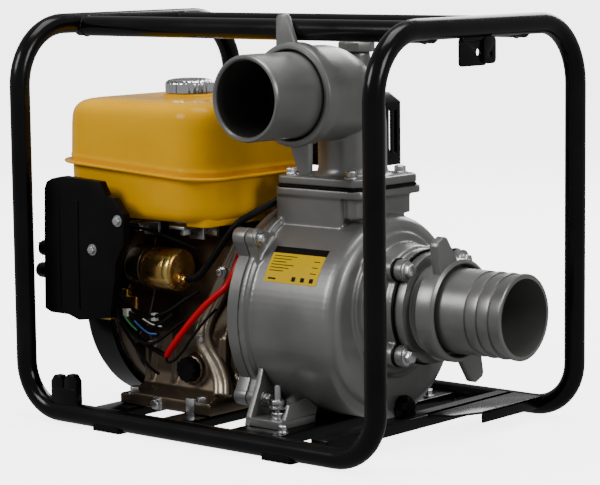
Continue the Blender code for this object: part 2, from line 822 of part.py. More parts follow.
def piston():
    crown = 133.0
    body = disc("Z", (0, 0), BORE_R - 3 * GAP, crown - 34, crown, 24)
    skirt = disc("Z", (0, 0), BORE_R - 6, crown - 40, crown - 8, 20)
    pin_x = disc("X", (0, crown - 24), 8, -(BORE_R - 5), BORE_R - 5, 16)
    shell = join(cut(body, skirt), pin_x)
    base = Vector((0, math.cos(CYLINDER_TILT), math.sin(CYLINDER_TILT))) * (crown - 20)
    make("piston", along_cylinder(shell), steel(), base + Vector((CYLINDER_X, 0, SHAFT_Z)))


def fan_shroud():
    """The round blower housing round the flywheel, with a scroll to the cylinder."""
    low, high = -277.0, -226.3
    drum = turned([(low, 0), (low, 130), (low + 7, 137), (high, 137), (high, 0)],
                  "X", (0, SHAFT_Z), 40)
    top = prism(rounded(-90, 190, 96, 254, 30, 3), low + 4, high, "X")
    chamber = disc("X", (0, SHAFT_Z), 110, low + 6, high + 5, 32)
    inlet = disc("X", (0, SHAFT_Z), 84, low - 5, low + 10, 28)
    below = box((low - 5, -150, 0), (high + 5, 150, 20))
    above = box((low - 5, -150, TANK_BOTTOM - 1.5), (high + 5, 150, 300))
    solid = join(drum, top)
    make("fan_shroud", cut(solid, chamber, inlet, below, above), black_paint())


def recoil_cover():
    low, high = -298.0, -277.0 - GAP
    cover = turned(
        [(low, 0), (low, 70), (low + 3, 80), (low + 7, 92), (high - 3, 99), (high, 104),
         (high, 94), (low + 9, 84), (low + 7, 66), (low + 5, 0)],
        "X", (0, SHAFT_Z), 32,
    )
    slots = []
    for k in range(8):
        slot = prism(rounded(-6, SHAFT_Z + 34, 6, SHAFT_Z + 62, 4, 1), low - 5, low + 7, "X")
        slots.append(spun(slot, "X", 45 * k, (0, 0, SHAFT_Z)))
    make("recoil_cover", cut(cover, *slots), black_plastic())


def recoil_handle():
    x = -298.4
    grip = prism(rounded(-36, 196, 36, 216, 8, 3), x - 20, x - 7, "X")
    guide = disc("X", (0, 206), 6, x - 8, x, 16)
    make("recoil_handle", join(grip, guide), black_plastic(), (x, 0, 206))


def control_box():
    """The electric start box: a stepped face plate with a deep lower part behind it."""
    near = -190.0
    face = [
        (-290, 143), (-288.3, 233), (-286, 298), (-282, 307), (-271.5, 312), (-254, 315.5), (-187, 312),
        (-177, 295), (-163.6, 293), (-151.5, 279), (-146, 274), (-146.5, 235), (-160.6, 212),
        (-163, 187), (-167, 171), (-172.6, 141), (-228, 133), (-247, 138.5), (-279, 138.7),
    ]
    plate = prism(face, near, near + 12, "Y")
    deep = prism(rounded(-286, 140, -206, 250, 8, 2), near + 2, -140, "Y")
    clear = disc("X", (0, SHAFT_Z), 138.5, -320, -190, 48)
    button_hole = disc("X", BUTTON_AT, 10.8, -300, -286.5, 24)
    make("control_box", cut(join(plate, deep), clear, button_hole), black_plastic())


def box_controls():
    x = -290.0 - GAP
    key = turned([(x, 0), (x, 10), (x - 14, 10), (x - 16, 8), (x - 16, 0)], "X", KEY_AT, 16)
    bow = box((x - 23, -178, 212), (x - 14, -174, 226))
    make("ignition_key", join(key, bow), black_plastic(), (x, *KEY_AT))
    button = turned([(x, 0), (x, 10), (x - 20, 10), (x - 23, 7), (x - 23, 0)], "X", BUTTON_AT, 16)
    make("breaker_button", button, black_plastic(), (x, *BUTTON_AT))


def seam_height(x):
    """The tank's seam falls slightly towards the pump."""
    high, low = TANK_SEAM
    return high + (low - high) * (x - TANK_X[0]) / (TANK_X[1] - TANK_X[0])


def fuel_tank():
    x0, x1 = TANK_X
    y0, y1 = TANK_Y

    def section(z, inset):
        outline = rounded(x0 + inset, y0 + inset, x1 - inset, y1 - inset, 42 - inset * 0.5, 4)
        return [(x, y, z) for x, y in outline]

    def at_seam(inset, shift=0.0):
        return [(x, y, seam_height(x) + shift) for x, y, _ in section(0, inset)]

    upper = loft([
        at_seam(0, -1), section(396, 2), section(404, 5), section(410, 12), section(412.5, 22),
    ])
    lower = loft([
        section(TANK_BOTTOM, 22), section(266, 10), section(274, 4), section(286, 2), at_seam(1),
    ])
    seam = loft([at_seam(-8, -3), at_seam(-8)])
    sump = prism(rounded(-93, -138, -54, 10, 10, 3), 257, 272)
    collar = disc("Z", CAP_AT, 34, 405, 417, 32)
    solid = join(upper, lower, seam, sump, collar)
    inner = loft([section(270, 32), section(284, 10), section(392, 9), section(404, 26)])
    mouth = disc("Z", CAP_AT, 22, 380, 430, 24)
    make("fuel_tank", cut(solid, inner, mouth), yellow_paint())


def fuel_cap():
    low = 417 + GAP
    cap = turned(
        [(low, 0), (low, 29), (low + 2, 31), (low + 12, 31), (low + 17, 27), (low + 19, 20),
         (low + 19, 0)],
        "Z", CAP_AT, 32,
    )
    stem = disc("Z", CAP_AT, 19, low - 8, low + 2, 20)
    make("fuel_cap", join(cap, stem), chrome(), (*CAP_AT, low))


def tank_bracket():
    outline = [(-62, 236.3), (-62, 252), (-50, 261.6), (26, 261.6), (40, 252), (40, 236.3),
               (34, 236.3), (34, 248), (22, 255), (-48, 255), (-57, 248), (-57, 236.3)]
    plate = prism(outline, -190, -106, "X")
    make("tank_bracket", plate, steel())


def muffler():
    case = prism(rounded(-104, 94, 8, 152, 18, 4), 330, 398)
    pipe = disc("Z", (-60, 118), 14, 262, 332, 20)
    make("muffler", join(case, pipe), cast_iron())


def muffler_guard():
    """A slotted black heat guard, open below."""
    x0, x1 = -112.0, 20.0
    y0, y1 = 84.0, 164.0
    outer = loft([
        [(x, y, z) for x, y in rounded(x0 + s, y0 + s, x1 - s, y1 - s, 8, 2)]
        for z, s in ((318, 0), (400, 0), (412, 10))
    ])
    inner = loft([
        [(x, y, z) for x, y in rounded(x0 + s, y0 + s, x1 - s, y1 - s, 6, 2)]
        for z, s in ((310, 2.5), (399, 2.5), (409, 11))
    ])
    slots = [box((x1 - 10, y - 3, 334), (x1 + 10, y + 3, 390)) for y in (100, 112, 124, 136, 148)]
    slots += [box((x - 3, y1 - 10, 334), (x + 3, y1 + 10, 390)) for x in range(-96, 12, 12)]
    make("muffler_guard", cut(outer, inner, *slots), black_paint())


def air_cleaner():
    body = prism(rounded(-286, 66, -134, 180, 26, 4), 286, 350)
    cover = loft([
        [(x, y, z) for x, y in rounded(-290 + s, 62 + s, -130 - s, 184 - s, 28, 4)]
        for z, s in ((346, 0), (366, 0), (376, 6), (380, 16))
    ])
    make("air_cleaner", join(body, cover), black_plastic())


def carburettor():
    body = prism(rounded(-248, 138, -206, 174, 8, 2), 232, 285.6)
    flange = box((-207, 136, 236), (-194, 176, 274))
    bowl = disc("Z", (-228, 156), 16, 206, 234, 20)
    make("carburettor", join(body, flange, bowl), steel())


def lever(name, low, high, knob, origin):
    """A flat lever with a knob at its free end."""
    arm = box(low, high)
    make(name, join(arm, knob), black_plastic(), origin)


def levers():
    side = 174 + GAP
    lever("choke_lever", (-262, side, 250), (-222, side + 3, 258),
          disc("Y", (-260, 254), 7, side, side + 9, 14), (-226, side, 254))
    lever("fuel_lever", (-262, side, 214), (-222, side + 3, 222),
          disc("Y", (-260, 218), 7, side, side + 9, 14), (-226, side, 218))
    lever("throttle_lever", (-150, 52, 238), (-144, 58, 283),
          disc("X", (55, 280), 7, -154, -140, 14), (-147, 55, 240))


def starter_motor():
    body = turned(
        [(-167, 0), (-167, 27), (-124, 27), (-121, 25), (-119, 21), (-119, 0)],
        "X", (STARTER_Y, STARTER_Z), 32,
    )
    terminal = disc("X", (-118, 187), 6, -121, -106, 12)
    make("starter_motor", join(body, terminal), zinc_gold())


def starter_nose():
    nose = turned(
        [(-199.7, 0), (-199.7, 24), (-194, 28), (-167.3, 28), (-167.3, 0)],
        "X", (STARTER_Y, STARTER_Z), 28,
    )
    make("starter_nose_bracket", nose, bronze_paint())


def oil_filler_plug():
    low = -106 - GAP
    grip = disc("Y", FILLER_AT, 16, low - 12, low, 10)
    stem = disc("Y", FILLER_AT, 9.0, low - 1, low + 20, 16)
    make("oil_filler_plug", join(grip, stem), black_plastic(), (FILLER_AT[0], low, FILLER_AT[1]))


def cables():
    """The two heavy starter leads."""
    red = [
        (-141, -121, 86), (-133, -122, 96), (-116, -123, 114), (-97.5, -124, 133), (-74, -122, 156),
        (-59, -118, 169.5), (-46, -112, 182), (-44, -98, 200), (-44, -88, 222),
    ]
    make("red_cable", sweep(smooth_path(red, 24), 4.2, 8),
         material("red_insulation", (0.7, 0.01, 0.015), 0.35, 0.0))
    black = [
        (-103.2, -119, 187.4), (-97, -121, 190), (-86.5, -121, 192.2), (-76, -119, 201.7),
        (-60, -116, 221.5), (-42, -109, 249), (-31, -102, 263), (-20, -92, 272), (-14, -70, 281),
        (-14, -45, 288), (-15, -34, 293),
    ]
    make("black_cable", sweep(smooth_path(black, 27), 4.6, 8), rubber())


def build():
    clear_scene()
    frame_half("frame_half_near", -1)
    frame_half("frame_half_far", 1)
    top_rail("top_rail_near", -RAIL_Y)
    top_rail("top_rail_far", RAIL_Y)
    cross_members()
    front_base_plate()
    rubber_feet()
    end_bracket()
    pump_casing()
    casing_back_plate()
    pump_foot("pump_foot_near", -1)
    pump_foot("pump_foot_far", 1)
    suction_flange()
    suction_gasket()
    suction_side()
    check_valve()
    elbow_gasket()
    discharge_elbow()
    priming_plug()
    discharge_side()
    drain_plug()
    volute()
    impeller()
    mechanical_seal()
    crankcase()
    crankcase_cover()
    cylinder_head()
    rocker_cover()
    spark_plug_cap()
    crankshaft()
    flywheel()
    piston()
    fan_shroud()
    recoil_cover()
    recoil_handle()
    control_box()
    box_controls()
    fuel_tank()
    fuel_cap()
    tank_bracket()
    muffler()
    muffler_guard()
    air_cleaner()
    carburettor()
    levers()
    starter_motor()
    starter_nose()
    oil_filler_plug()
    cables()


build()
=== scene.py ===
"""The looks of the gas engine trash pump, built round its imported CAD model.

Shapes are worked out in millimetres and turned into Blender metres by piece().
+X runs towards the suction port, -Y is the starter motor side, +Z is up.
"""

import json
import math

import bmesh
import bpy
from mathutils import Matrix, Vector


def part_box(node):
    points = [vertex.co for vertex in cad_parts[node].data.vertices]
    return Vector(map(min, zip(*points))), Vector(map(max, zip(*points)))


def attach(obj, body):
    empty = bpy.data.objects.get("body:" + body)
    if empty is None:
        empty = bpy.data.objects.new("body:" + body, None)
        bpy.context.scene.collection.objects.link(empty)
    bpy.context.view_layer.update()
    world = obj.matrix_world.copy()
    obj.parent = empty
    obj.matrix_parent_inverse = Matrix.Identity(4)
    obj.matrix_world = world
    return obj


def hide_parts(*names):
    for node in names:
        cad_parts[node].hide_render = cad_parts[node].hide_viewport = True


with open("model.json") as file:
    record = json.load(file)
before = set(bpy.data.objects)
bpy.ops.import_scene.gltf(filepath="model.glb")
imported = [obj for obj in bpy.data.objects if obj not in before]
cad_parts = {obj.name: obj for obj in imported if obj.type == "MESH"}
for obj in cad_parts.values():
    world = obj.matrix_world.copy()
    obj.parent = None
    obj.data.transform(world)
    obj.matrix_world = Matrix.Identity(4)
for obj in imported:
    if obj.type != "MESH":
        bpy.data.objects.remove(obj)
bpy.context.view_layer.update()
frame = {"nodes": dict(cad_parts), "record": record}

MM = 0.001


def extent(node):
    """A CAD node's lowest and highest corners, in millimetres."""
    low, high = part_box(node)
    return Vector(low) / MM, Vector(high) / MM


# Driving sizes, read from the frame where a node's box gives them

TUBE_R = 13.0
HALF_LOW, HALF_HIGH = extent("frame_half_near")
LEFT_X, RIGHT_X = HALF_LOW.x + TUBE_R, HALF_HIGH.x - TUBE_R
FRAME_Y = 202.5
BOTTOM_Z = 14.5
END_TOP_Z = 506.0
RAIL_Z = 502.0
RAIL_Y = 92.0
TOP_BEND_R = 78.0
LOW_BEND_R = 60.0
FOOT_X = (-161.0, 121.0)
PLATE = 3.0
GAP = 0.3

SHAFT_Z = 146.0
SHAFT = (0.0, SHAFT_Z)
SUCTION_Z = 164.0
NECK_X = 68.0
NECK_Y = 59.0
NECK_TOP = 306.0
FLANGE_LOW = NECK_TOP + 3.6
DRUM_R = 127.0
RIM_R = 134.0
DRUM_BACK = -8.0
DRAIN_AT = (6.0, 33.0)
DRUM_FRONT = 138.0
BOSS_FRONT = 182.0
INLET_BOLTS = [(57.0 * sy, SUCTION_Z + 52.0 * sz) for sy in (-1, 1) for sz in (-1, 1)]
WALL = 8.0
EAR_ANGLES = (43.0, 137.0, 222.0, 318.0)
EAR_REACH = DRUM_R + 20.0
EAR_END_R = 12.0
EAR_ROOT = (108.0, 30.0)
LEG_BACK = DRUM_BACK + 14.6
LEG_FRONT = LEG_BACK + 8.0
TAIL_R = 52.0
TAIL_BORE = 45.0
NUT_R = 63.0
SUCTION_TIP = 326.6
DISCHARGE_Z = 425.0
DISCHARGE_TIP = -201.0
ELBOW_SINK = 44.0
PLUG_AT = (NECK_X + 1.0, 8.0)
PLUG_LOW = 471.3

CASE_X = (-201.0, -62.0)
COVER_END = -28.4
BACK_PLATE_START = -28.0
SHROUD_X = (-277.0, -226.3)
RECOIL_END = -298.0
HEAD_LOW = 134.3
HEAD_TALL = 30.0
BOX_NEAR_Y = -190.0
CYLINDER_X = -132.0
CYLINDER_TILT = math.radians(25.0)
TANK_X = (-290.0, -42.0)
TANK_Y = (-160.0, 50.0)
TANK_SEAM = (334.0, 320.0)
TANK_BOTTOM = 262.0
CAP_AT = (-155.0, -55.0)
STARTER = (-112.0, 197.0)
FILLER_AT = (-113.0, 70.0)
KEY_AT = (-176.0, 219.0)
BUTTON_AT = (-176.0, 190.0)


# Shapes


def turn_to(axis, a, u, v):
    """A point with coordinate a along the axis, and u, v on the other two in X, Y, Z order."""
    if axis == "X":
        return Vector((a, u, v))
    if axis == "Y":
        return Vector((u, a, v))
    return Vector((u, v, a))


def tidy(bm):
    """The same mesh with every face turned outwards."""
    bmesh.ops.recalc_face_normals(bm, faces=bm.faces)
    return bm


def prism(points, low, high, axis="Z"):
    """An outline drawn out between two places on an axis."""
    bm = bmesh.new()
    ends = [[bm.verts.new(turn_to(axis, a, *p)) for p in points] for a in (low, high)]
    for ring in ends:
        bm.faces.new(ring)
    for i in range(len(points)):
        j = (i + 1) % len(points)
        bm.faces.new((ends[0][i], ends[0][j], ends[1][j], ends[1][i]))
    return tidy(bm)


def box(low, high):
    (x0, y0, z0), (x1, y1, z1) = low, high
    return prism([(x0, y0), (x1, y0), (x1, y1), (x0, y1)], z0, z1)


def rounded(x0, y0, x1, y1, radius, steps=8):
    """The outline of a rectangle with round corners."""
    points = []
    for x, y, start in ((x1, y1, 0), (x0, y1, 90), (x0, y0, 180), (x1, y0, 270)):
        cx = x - radius if x == x1 else x + radius
        cy = y - radius if y == y1 else y + radius
        for k in range(steps + 1):
            angle = math.radians(start + 90.0 * k / steps)
            points.append((cx + radius * math.cos(angle), cy + radius * math.sin(angle)))
    return points


def circle(cx, cy, radius, steps=48, start=0.0):
    angles = [math.radians(start) + 2 * math.pi * k / steps for k in range(steps)]
    return [(cx + radius * math.cos(a), cy + radius * math.sin(a)) for a in angles]


def disc(axis, centre, radius, low, high, steps=48, start=0.0):
    return prism(circle(*centre, radius, steps, start), low, high, axis)


def turned(profile, axis, centre, steps=64, flutes=0, depth=0.0):
    """A closed (position, radius) outline spun about an axis, with optional flutes round it."""
    bm = bmesh.new()
    rings = []
    for a, radius in profile:
        if radius < 1e-6:
            rings.append([bm.verts.new(turn_to(axis, a, *centre))])
            continue
        ring = []
        for k in range(steps):
            angle = 2 * math.pi * k / steps
            r = radius * (1 + depth * math.cos(flutes * angle)) if flutes else radius
            ring.append(bm.verts.new(
                turn_to(axis, a, centre[0] + r * math.cos(angle), centre[1] + r * math.sin(angle))))
        rings.append(ring)
    for ring, after in zip(rings, rings[1:] + rings[:1]):
        if max(len(ring), len(after)) == 1:
            continue
        for k in range(steps):
            n = (k + 1) % steps
            if len(ring) == 1:
                bm.faces.new((ring[0], after[k], after[n]))
            elif len(after) == 1:
                bm.faces.new((ring[k], after[0], ring[n]))
            else:
                bm.faces.new((ring[k], after[k], after[n], ring[n]))
    return tidy(bm)


def fillet_path(corners, radii, steps=14):
    """Straight runs between the corners, with an arc at each inner one."""
    points = [Vector(corners[0])]
    for before, corner, after, radius in zip(corners, corners[1:], corners[2:], radii):
        before, corner, after = Vector(before), Vector(corner), Vector(after)
        into = (before - corner).normalized()
        out = (after - corner).normalized()
        half = into.angle(out) / 2
        centre = corner + (into + out).normalized() * (radius / math.sin(half))
        first = corner + into * (radius / math.tan(half)) - centre
        last = corner + out * (radius / math.tan(half)) - centre
        turn = first.rotation_difference(last)
        still = turn.copy()
        still.identity()
        points += [centre + still.slerp(turn, k / steps) @ first for k in range(steps + 1)]
    points.append(Vector(corners[-1]))
    return points


def smooth_path(points, count):
    """Points on a Catmull-Rom curve through the given ones."""
    knots = [Vector(p) for p in points]
    knots = [2 * knots[0] - knots[1]] + knots + [2 * knots[-1] - knots[-2]]
    result = []
    spans = len(knots) - 3
    for k in range(count + 1):
        place = min(k * spans / count, spans - 1e-6)
        i, t = int(place), place % 1.0
        p0, p1, p2, p3 = knots[i : i + 4]
        result.append(
            0.5 * (2 * p1 + (p2 - p0) * t + (2 * p0 - 5 * p1 + 4 * p2 - p3) * t**2
                   + (3 * p1 - p0 - 3 * p2 + p3) * t**3)
        )
    return result


def bridge(bm, rings):
    """Quads between each ring and the next."""
    for ring, after in zip(rings, rings[1:]):
        for k in range(len(ring)):
            n = (k + 1) % len(ring)
            bm.faces.new((ring[k], ring[n], after[n], after[k]))


def capped(bm, rings):
    bridge(bm, rings)
    bm.faces.new(rings[0])
    bm.faces.new(rings[-1])
    return tidy(bm)


def sweep(path, radius, sides=32):
    """A round bar along a path."""
    bm = bmesh.new()
    normal = None
    rings = []
    for i, point in enumerate(path):
        ahead = (path[min(i + 1, len(path) - 1)] - path[max(i - 1, 0)]).normalized()
        if normal is None:
            normal = ahead.orthogonal().normalized()
        normal = (normal - ahead * normal.dot(ahead)).normalized()
        across = ahead.cross(normal)
        angles = [2 * math.pi * k / sides for k in range(sides)]
        rings.append([
            bm.verts.new(point + (normal * math.cos(a) + across * math.sin(a)) * radius) for a in angles
        ])
    return capped(bm, rings)


def loft(sections):
    """A closed skin over a row of outlines that have the same number of points."""
    bm = bmesh.new()
    return capped(bm, [[bm.verts.new(Vector(p)) for p in section] for section in sections])


def crowned(x0, y0, x1, y1, radius, levels, steps=8):
    """A rounded box whose walls stand in by the given amount at each height."""
    return loft([
        [(x, y, z) for x, y in rounded(x0 + s, y0 + s, x1 - s, y1 - s, radius, steps)]
        for z, s in levels
    ])


def moved(bm, matrix):
    bmesh.ops.transform(bm, matrix=matrix, verts=bm.verts)
    return bm


def spun(bm, axis, degrees, centre):
    shift = Matrix.Translation(Vector(centre))
    return moved(bm, shift @ Matrix.Rotation(math.radians(degrees), 4, axis) @ shift.inverted())


def merged(*parts):
    """Separate closed shells in one mesh."""
    whole = bmesh.new()
    for part in parts:
        mesh = bpy.data.meshes.new("part")
        part.to_mesh(mesh)
        part.free()
        whole.from_mesh(mesh)
        bpy.data.meshes.remove(mesh)
    return whole


def linked(name, data):
    """A new object in the scene."""
    item = bpy.data.objects.new(name, data)
    bpy.context.collection.objects.link(item)
    return item


def holder(bm, name="holder"):
    """A mesh object that takes over the geometry."""
    mesh = bpy.data.meshes.new(name)
    bm.to_mesh(mesh)
    bm.free()
    return linked(name, mesh)


def discard(item):
    mesh = item.data
    bpy.data.objects.remove(item, do_unlink=True)
    bpy.data.meshes.remove(mesh)


def evaluated(item):
    """The mesh of an object after its modifiers; the object itself is removed."""
    graph = bpy.context.evaluated_depsgraph_get()
    bm = bmesh.new()
    bm.from_mesh(item.evaluated_get(graph).to_mesh())
    discard(item)
    return bm


def combine(base, tools, operation):
    for tool in tools:
        first, second = holder(base), holder(tool)
        boolean = first.modifiers.new("cut", "BOOLEAN")
        boolean.operation = operation
        boolean.solver = "EXACT"
        boolean.object = second
        base = evaluated(first)
        discard(second)
    bmesh.ops.remove_doubles(base, verts=base.verts, dist=0.002)
    return tidy(base)


def join(base, *tools):
    return combine(base, tools, "UNION")


def cut(base, *tools):
    return combine(base, tools, "DIFFERENCE")


def softened(bm, width=0.8, segments=3, angle=28.0):
    """Rounds every sharp edge."""
    bmesh.ops.dissolve_limit(bm, angle_limit=0.002, verts=bm.verts, edges=bm.edges)
    item = holder(bm)
    bevel = item.modifiers.new("round", "BEVEL")
    bevel.width = width
    bevel.segments = segments
    bevel.limit_method = "ANGLE"
    bevel.angle_limit = math.radians(angle)
    return evaluated(item)


def cast(bm, voxel=1.7, rounds=4):
    """Melts overlapping shells into one casting with small fillets."""
    item = holder(bm)
    remesh = item.modifiers.new("melt", "REMESH")
    remesh.mode = "VOXEL"
    remesh.voxel_size = voxel
    smooth = item.modifiers.new("fillet", "SMOOTH")
    smooth.factor = 0.5
    smooth.iterations = rounds
    return evaluated(item)


def piece(name, bm, finish, body="frame", nodes=(), sharp=38.0):
    """Turns millimetre geometry into a piece that rides on a body."""
    mat, slot = finish
    bmesh.ops.scale(bm, verts=bm.verts, vec=(MM, MM, MM))
    item = holder(bm, name)
    item.data.materials.append(mat)
    item.data.shade_smooth()
    item.data.set_sharp_from_angle(angle=math.radians(sharp))
    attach(item, body)
    if nodes:
        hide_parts(*nodes)
    return item


# Finishes


def grey(value):
    return value, value, value


def set_inputs(node, **values):
    """Sets a node's inputs, with an underscore for each space in an input's name."""
    for name, value in values.items():
        node.inputs[name.replace("_", " ")].default_value = value
    return node


def finish(name, slot, dark, light, roughness, metallic=0.0, specular=0.5, grain=800.0, bump=0.1,
           depth=0.0002, patches=14.0, stretch=(1, 1, 1)):
    """A surface whose tone and gloss drift in soft patches over a fine grain."""
    mat = bpy.data.materials.new(name)
    mat.use_nodes = True
    nodes, links = mat.node_tree.nodes, mat.node_tree.links
    shader = set_inputs(nodes["Principled BSDF"], Metallic=metallic, Specular_IOR_Level=specular)
    place = nodes.new("ShaderNodeTexCoord")
    stretched = set_inputs(nodes.new("ShaderNodeMapping"), Scale=stretch)
    patch = set_inputs(nodes.new("ShaderNodeTexNoise"), Scale=patches, Detail=5.0)
    tone = nodes.new("ShaderNodeValToRGB")
    for stop, position, colour in zip(tone.color_ramp.elements, (0.32, 0.68), (dark, light)):
        stop.position = position
        stop.color = (*colour, 1.0)
    gloss = set_inputs(nodes.new("ShaderNodeMapRange"), From_Min=0.3, From_Max=0.7,
                       To_Min=roughness[0], To_Max=roughness[1])
    fine = set_inputs(nodes.new("ShaderNodeTexNoise"), Scale=grain, Detail=3.0)
    relief = set_inputs(nodes.new("ShaderNodeBump"), Strength=bump, Distance=depth)
    for source, output, target, socket in (
        (place, "Object", stretched, "Vector"),
        (stretched, "Vector", patch, "Vector"),
        (patch, "Fac", tone, "Fac"),
        (tone, "Color", shader, "Base Color"),
        (patch, "Fac", gloss, "Value"),
        (gloss, "Result", shader, "Roughness"),
        (stretched, "Vector", fine, "Vector"),
        (fine, "Fac", relief, "Height"),
        (relief, "Normal", shader, "Normal"),
    ):
        links.new(source.outputs[output], target.inputs[socket])
    return mat, slot


BLACK_PAINT = finish(
    "gloss_black_paint", "black_paint", (0.001, 0.001, 0.0012), (0.003, 0.003, 0.0033),
    (0.14, 0.24), grain=420.0, bump=0.12, specular=0.2)
SILVER = finish(
    "silver_paint", "silver_paint", (0.165, 0.164, 0.160), (0.215, 0.214, 0.209),
    (0.30, 0.38), metallic=0.6, grain=1100.0, bump=0.22)
BRONZE = finish(
    "bronze_paint", "bronze_paint", (0.085, 0.062, 0.042), (0.17, 0.13, 0.09),
    (0.24, 0.36), metallic=0.85, bump=0.25)
# Painted highlight: a lighter copy of the bronze paint for the ridge on the crankcase, standing in for the
# bright highlights along it.
BRONZE_PAINTED_HIGHLIGHT = finish(
    "bronze_painted_highlight", "bronze_paint", (0.20, 0.16, 0.12), (0.30, 0.25, 0.19),
    (0.24, 0.34), metallic=0.9, bump=0.2)
YELLOW = finish(
    "yellow_enamel", "yellow_paint", (0.72, 0.355, 0.0), (0.80, 0.40, 0.0),
    (0.16, 0.24), grain=260.0, bump=0.04, specular=0.12)
PLASTIC = finish(
    "black_moulding", "black_plastic", (0.0008, 0.0008, 0.001), (0.002, 0.002, 0.0024),
    (0.30, 0.44), grain=1500.0, bump=0.3, specular=0.12)
RUBBER = finish(
    "black_rubber", "rubber", grey(0.001), grey(0.003),
    (0.45, 0.65), grain=1300.0, bump=0.4, specular=0.12)
STEEL = finish(
    "bright_steel", "steel", (0.48, 0.48, 0.49), (0.62, 0.62, 0.63),
    (0.22, 0.36), metallic=1.0, grain=700.0, bump=0.15, stretch=(1, 1, 6))
CHROME = finish(
    "polished_chrome", "chrome", (0.70, 0.70, 0.72), (0.80, 0.80, 0.82),
    (0.05, 0.11), metallic=1.0, grain=300.0, bump=0.03)
ZINC_GOLD = finish(
    "gold_zinc", "zinc_gold", (0.42, 0.22, 0.05), (0.66, 0.42, 0.13),
    (0.20, 0.34), metallic=0.95, grain=700.0, bump=0.12, patches=30.0)
CAST_IRON = finish(
    "grey_casting", "cast_iron", (0.06, 0.06, 0.062), (0.13, 0.13, 0.132),
    (0.45, 0.62), metallic=0.7, bump=0.5, grain=900.0)
RED = finish(
    "red_sheath", "red_insulation", (0.50, 0.001, 0.006), (0.60, 0.002, 0.010),
    (0.28, 0.38), specular=0.15)
CERAMIC = finish(
    "pale_ceramic", "seal_ceramic", (0.70, 0.67, 0.60), (0.78, 0.75, 0.68),
    (0.25, 0.35), grain=900.0)
BRIGHT_GOLD = finish(
    "bright_gold_zinc", "zinc_gold", (0.66, 0.46, 0.10), (0.80, 0.60, 0.20),
    (0.18, 0.28), metallic=0.95, grain=600.0, patches=40.0)
# Painted shade: a near-black copy of the silver paint that stands in for the shadow inside the outlet bore.
BORE_PAINTED_SHADE = finish(
    "bore_painted_shade", "silver_paint", (0.020, 0.019, 0.018), (0.040, 0.038, 0.036),
    (0.45, 0.6), metallic=0.3, grain=700.0, bump=0.2)
LABEL_YELLOW = finish(
    "label_yellow", "yellow_paint", (0.60, 0.38, 0.0), (0.66, 0.42, 0.0),
    (0.40, 0.48), grain=500.0, bump=0.05, specular=0.1)
LABEL_BLACK = finish(
    "label_print", "black_plastic", grey(0.001), grey(0.003),
    (0.45, 0.55), grain=500.0, bump=0.05, specular=0.1)
WHITE_PLASTIC = finish(
    "white_nylon", "seal_ceramic", (0.55, 0.52, 0.46), (0.68, 0.66, 0.60),
    (0.35, 0.5), grain=700.0)
WIRE_BLUE = finish(
    "blue_sheath", "black_plastic", (0.02, 0.10, 0.38), (0.03, 0.14, 0.46),
    (0.3, 0.4))
WIRE_GREEN = finish(
    "green_sheath", "black_plastic", (0.02, 0.22, 0.06), (0.03, 0.30, 0.08),
    (0.3, 0.4))

NODE_FINISH = {
    "black_paint": BLACK_PAINT, "silver_paint": SILVER, "bronze_paint": BRONZE, "yellow_paint": YELLOW,
    "black_plastic": PLASTIC, "rubber": RUBBER, "steel": STEEL, "chrome": CHROME,
    "zinc_gold": ZINC_GOLD, "cast_iron": CAST_IRON, "red_insulation": RED, "seal_ceramic": CERAMIC,
}


def finish_cad_nodes():
    """Every CAD node that stays in sight takes the finish of its own slot."""
    for part in frame["record"]["subparts"]:
        item = frame["nodes"][part["node"]]
        for slot in item.material_slots:
            slot.link = "OBJECT"
            slot.material = NODE_FINISH[part["material_slot"]][0]


# Fasteners


def fastener(axis, base, height, centre, across=13.0, washer=1.6, turn=0.0):
    """A hexagon head with a chamfered end on a round washer; height may be negative."""
    sign = 1.0 if height > 0 else -1.0
    r = across / math.sqrt(3)
    foot = base + sign * washer
    top = base + height
    head = turned([(foot, 0), (foot, r), (top - sign * 1.4, r), (top, r * 0.84), (top, 0)],
                  axis, centre, 6)
    head = softened(spun(head, axis, turn, turn_to(axis, base, *centre)), 0.35, 2)
    if not washer:
        return head
    ring = turned([(base - sign, 0), (base - sign, r * 1.28), (foot - sign * 0.4, r * 1.28),
                   (foot, r * 1.22), (foot, 0)], axis, centre, 28)
    return merged(ring, head)


def bead(axis, at, centre, radius, minor=2.4, steps=56):
    """A rippled weld round a tube."""
    bm = bmesh.new()
    rings = []
    for k in range(steps):
        angle = 2 * math.pi * k / steps
        thick = minor * (1 + 0.16 * math.sin(k * 2.1) + 0.08 * math.sin(k * 5.3))
        ring = []
        for m in range(10):
            turn = 2 * math.pi * m / 10
            r = radius + thick * math.cos(turn)
            ring.append(bm.verts.new(turn_to(
                axis, at + thick * math.sin(turn),
                centre[0] + r * math.cos(angle), centre[1] + r * math.sin(angle))))
        rings.append(ring)
    bridge(bm, rings + rings[:1])
    return tidy(bm)


# Frame


def tubes():
    radii = (TOP_BEND_R, LOW_BEND_R, LOW_BEND_R, TOP_BEND_R)
    for side, near in ((-1, "near"), (1, "far")):
        corners = [
            (LEFT_X, 0, END_TOP_Z),
            (LEFT_X, side * FRAME_Y, END_TOP_Z),
            (LEFT_X, side * FRAME_Y, BOTTOM_Z),
            (RIGHT_X, side * FRAME_Y, BOTTOM_Z),
            (RIGHT_X, side * FRAME_Y, END_TOP_Z),
            (RIGHT_X, 0, END_TOP_Z),
        ]
        bar = sweep(fillet_path(corners, radii), TUBE_R, 40)
        piece(f"tube_{near}", bar, BLACK_PAINT, nodes=[f"frame_half_{near}"])
        rail = disc("X", (side * RAIL_Y, RAIL_Z), TUBE_R, LEFT_X, RIGHT_X, 40)
        welds = [bead("X", x, (side * RAIL_Y, RAIL_Z), TUBE_R - 0.4, 1.6)
                 for x in (LEFT_X + TUBE_R - 1, RIGHT_X - TUBE_R + 1)]
        piece(f"rail_{near}", merged(rail, *welds), BLACK_PAINT, nodes=[f"top_rail_{near}"])


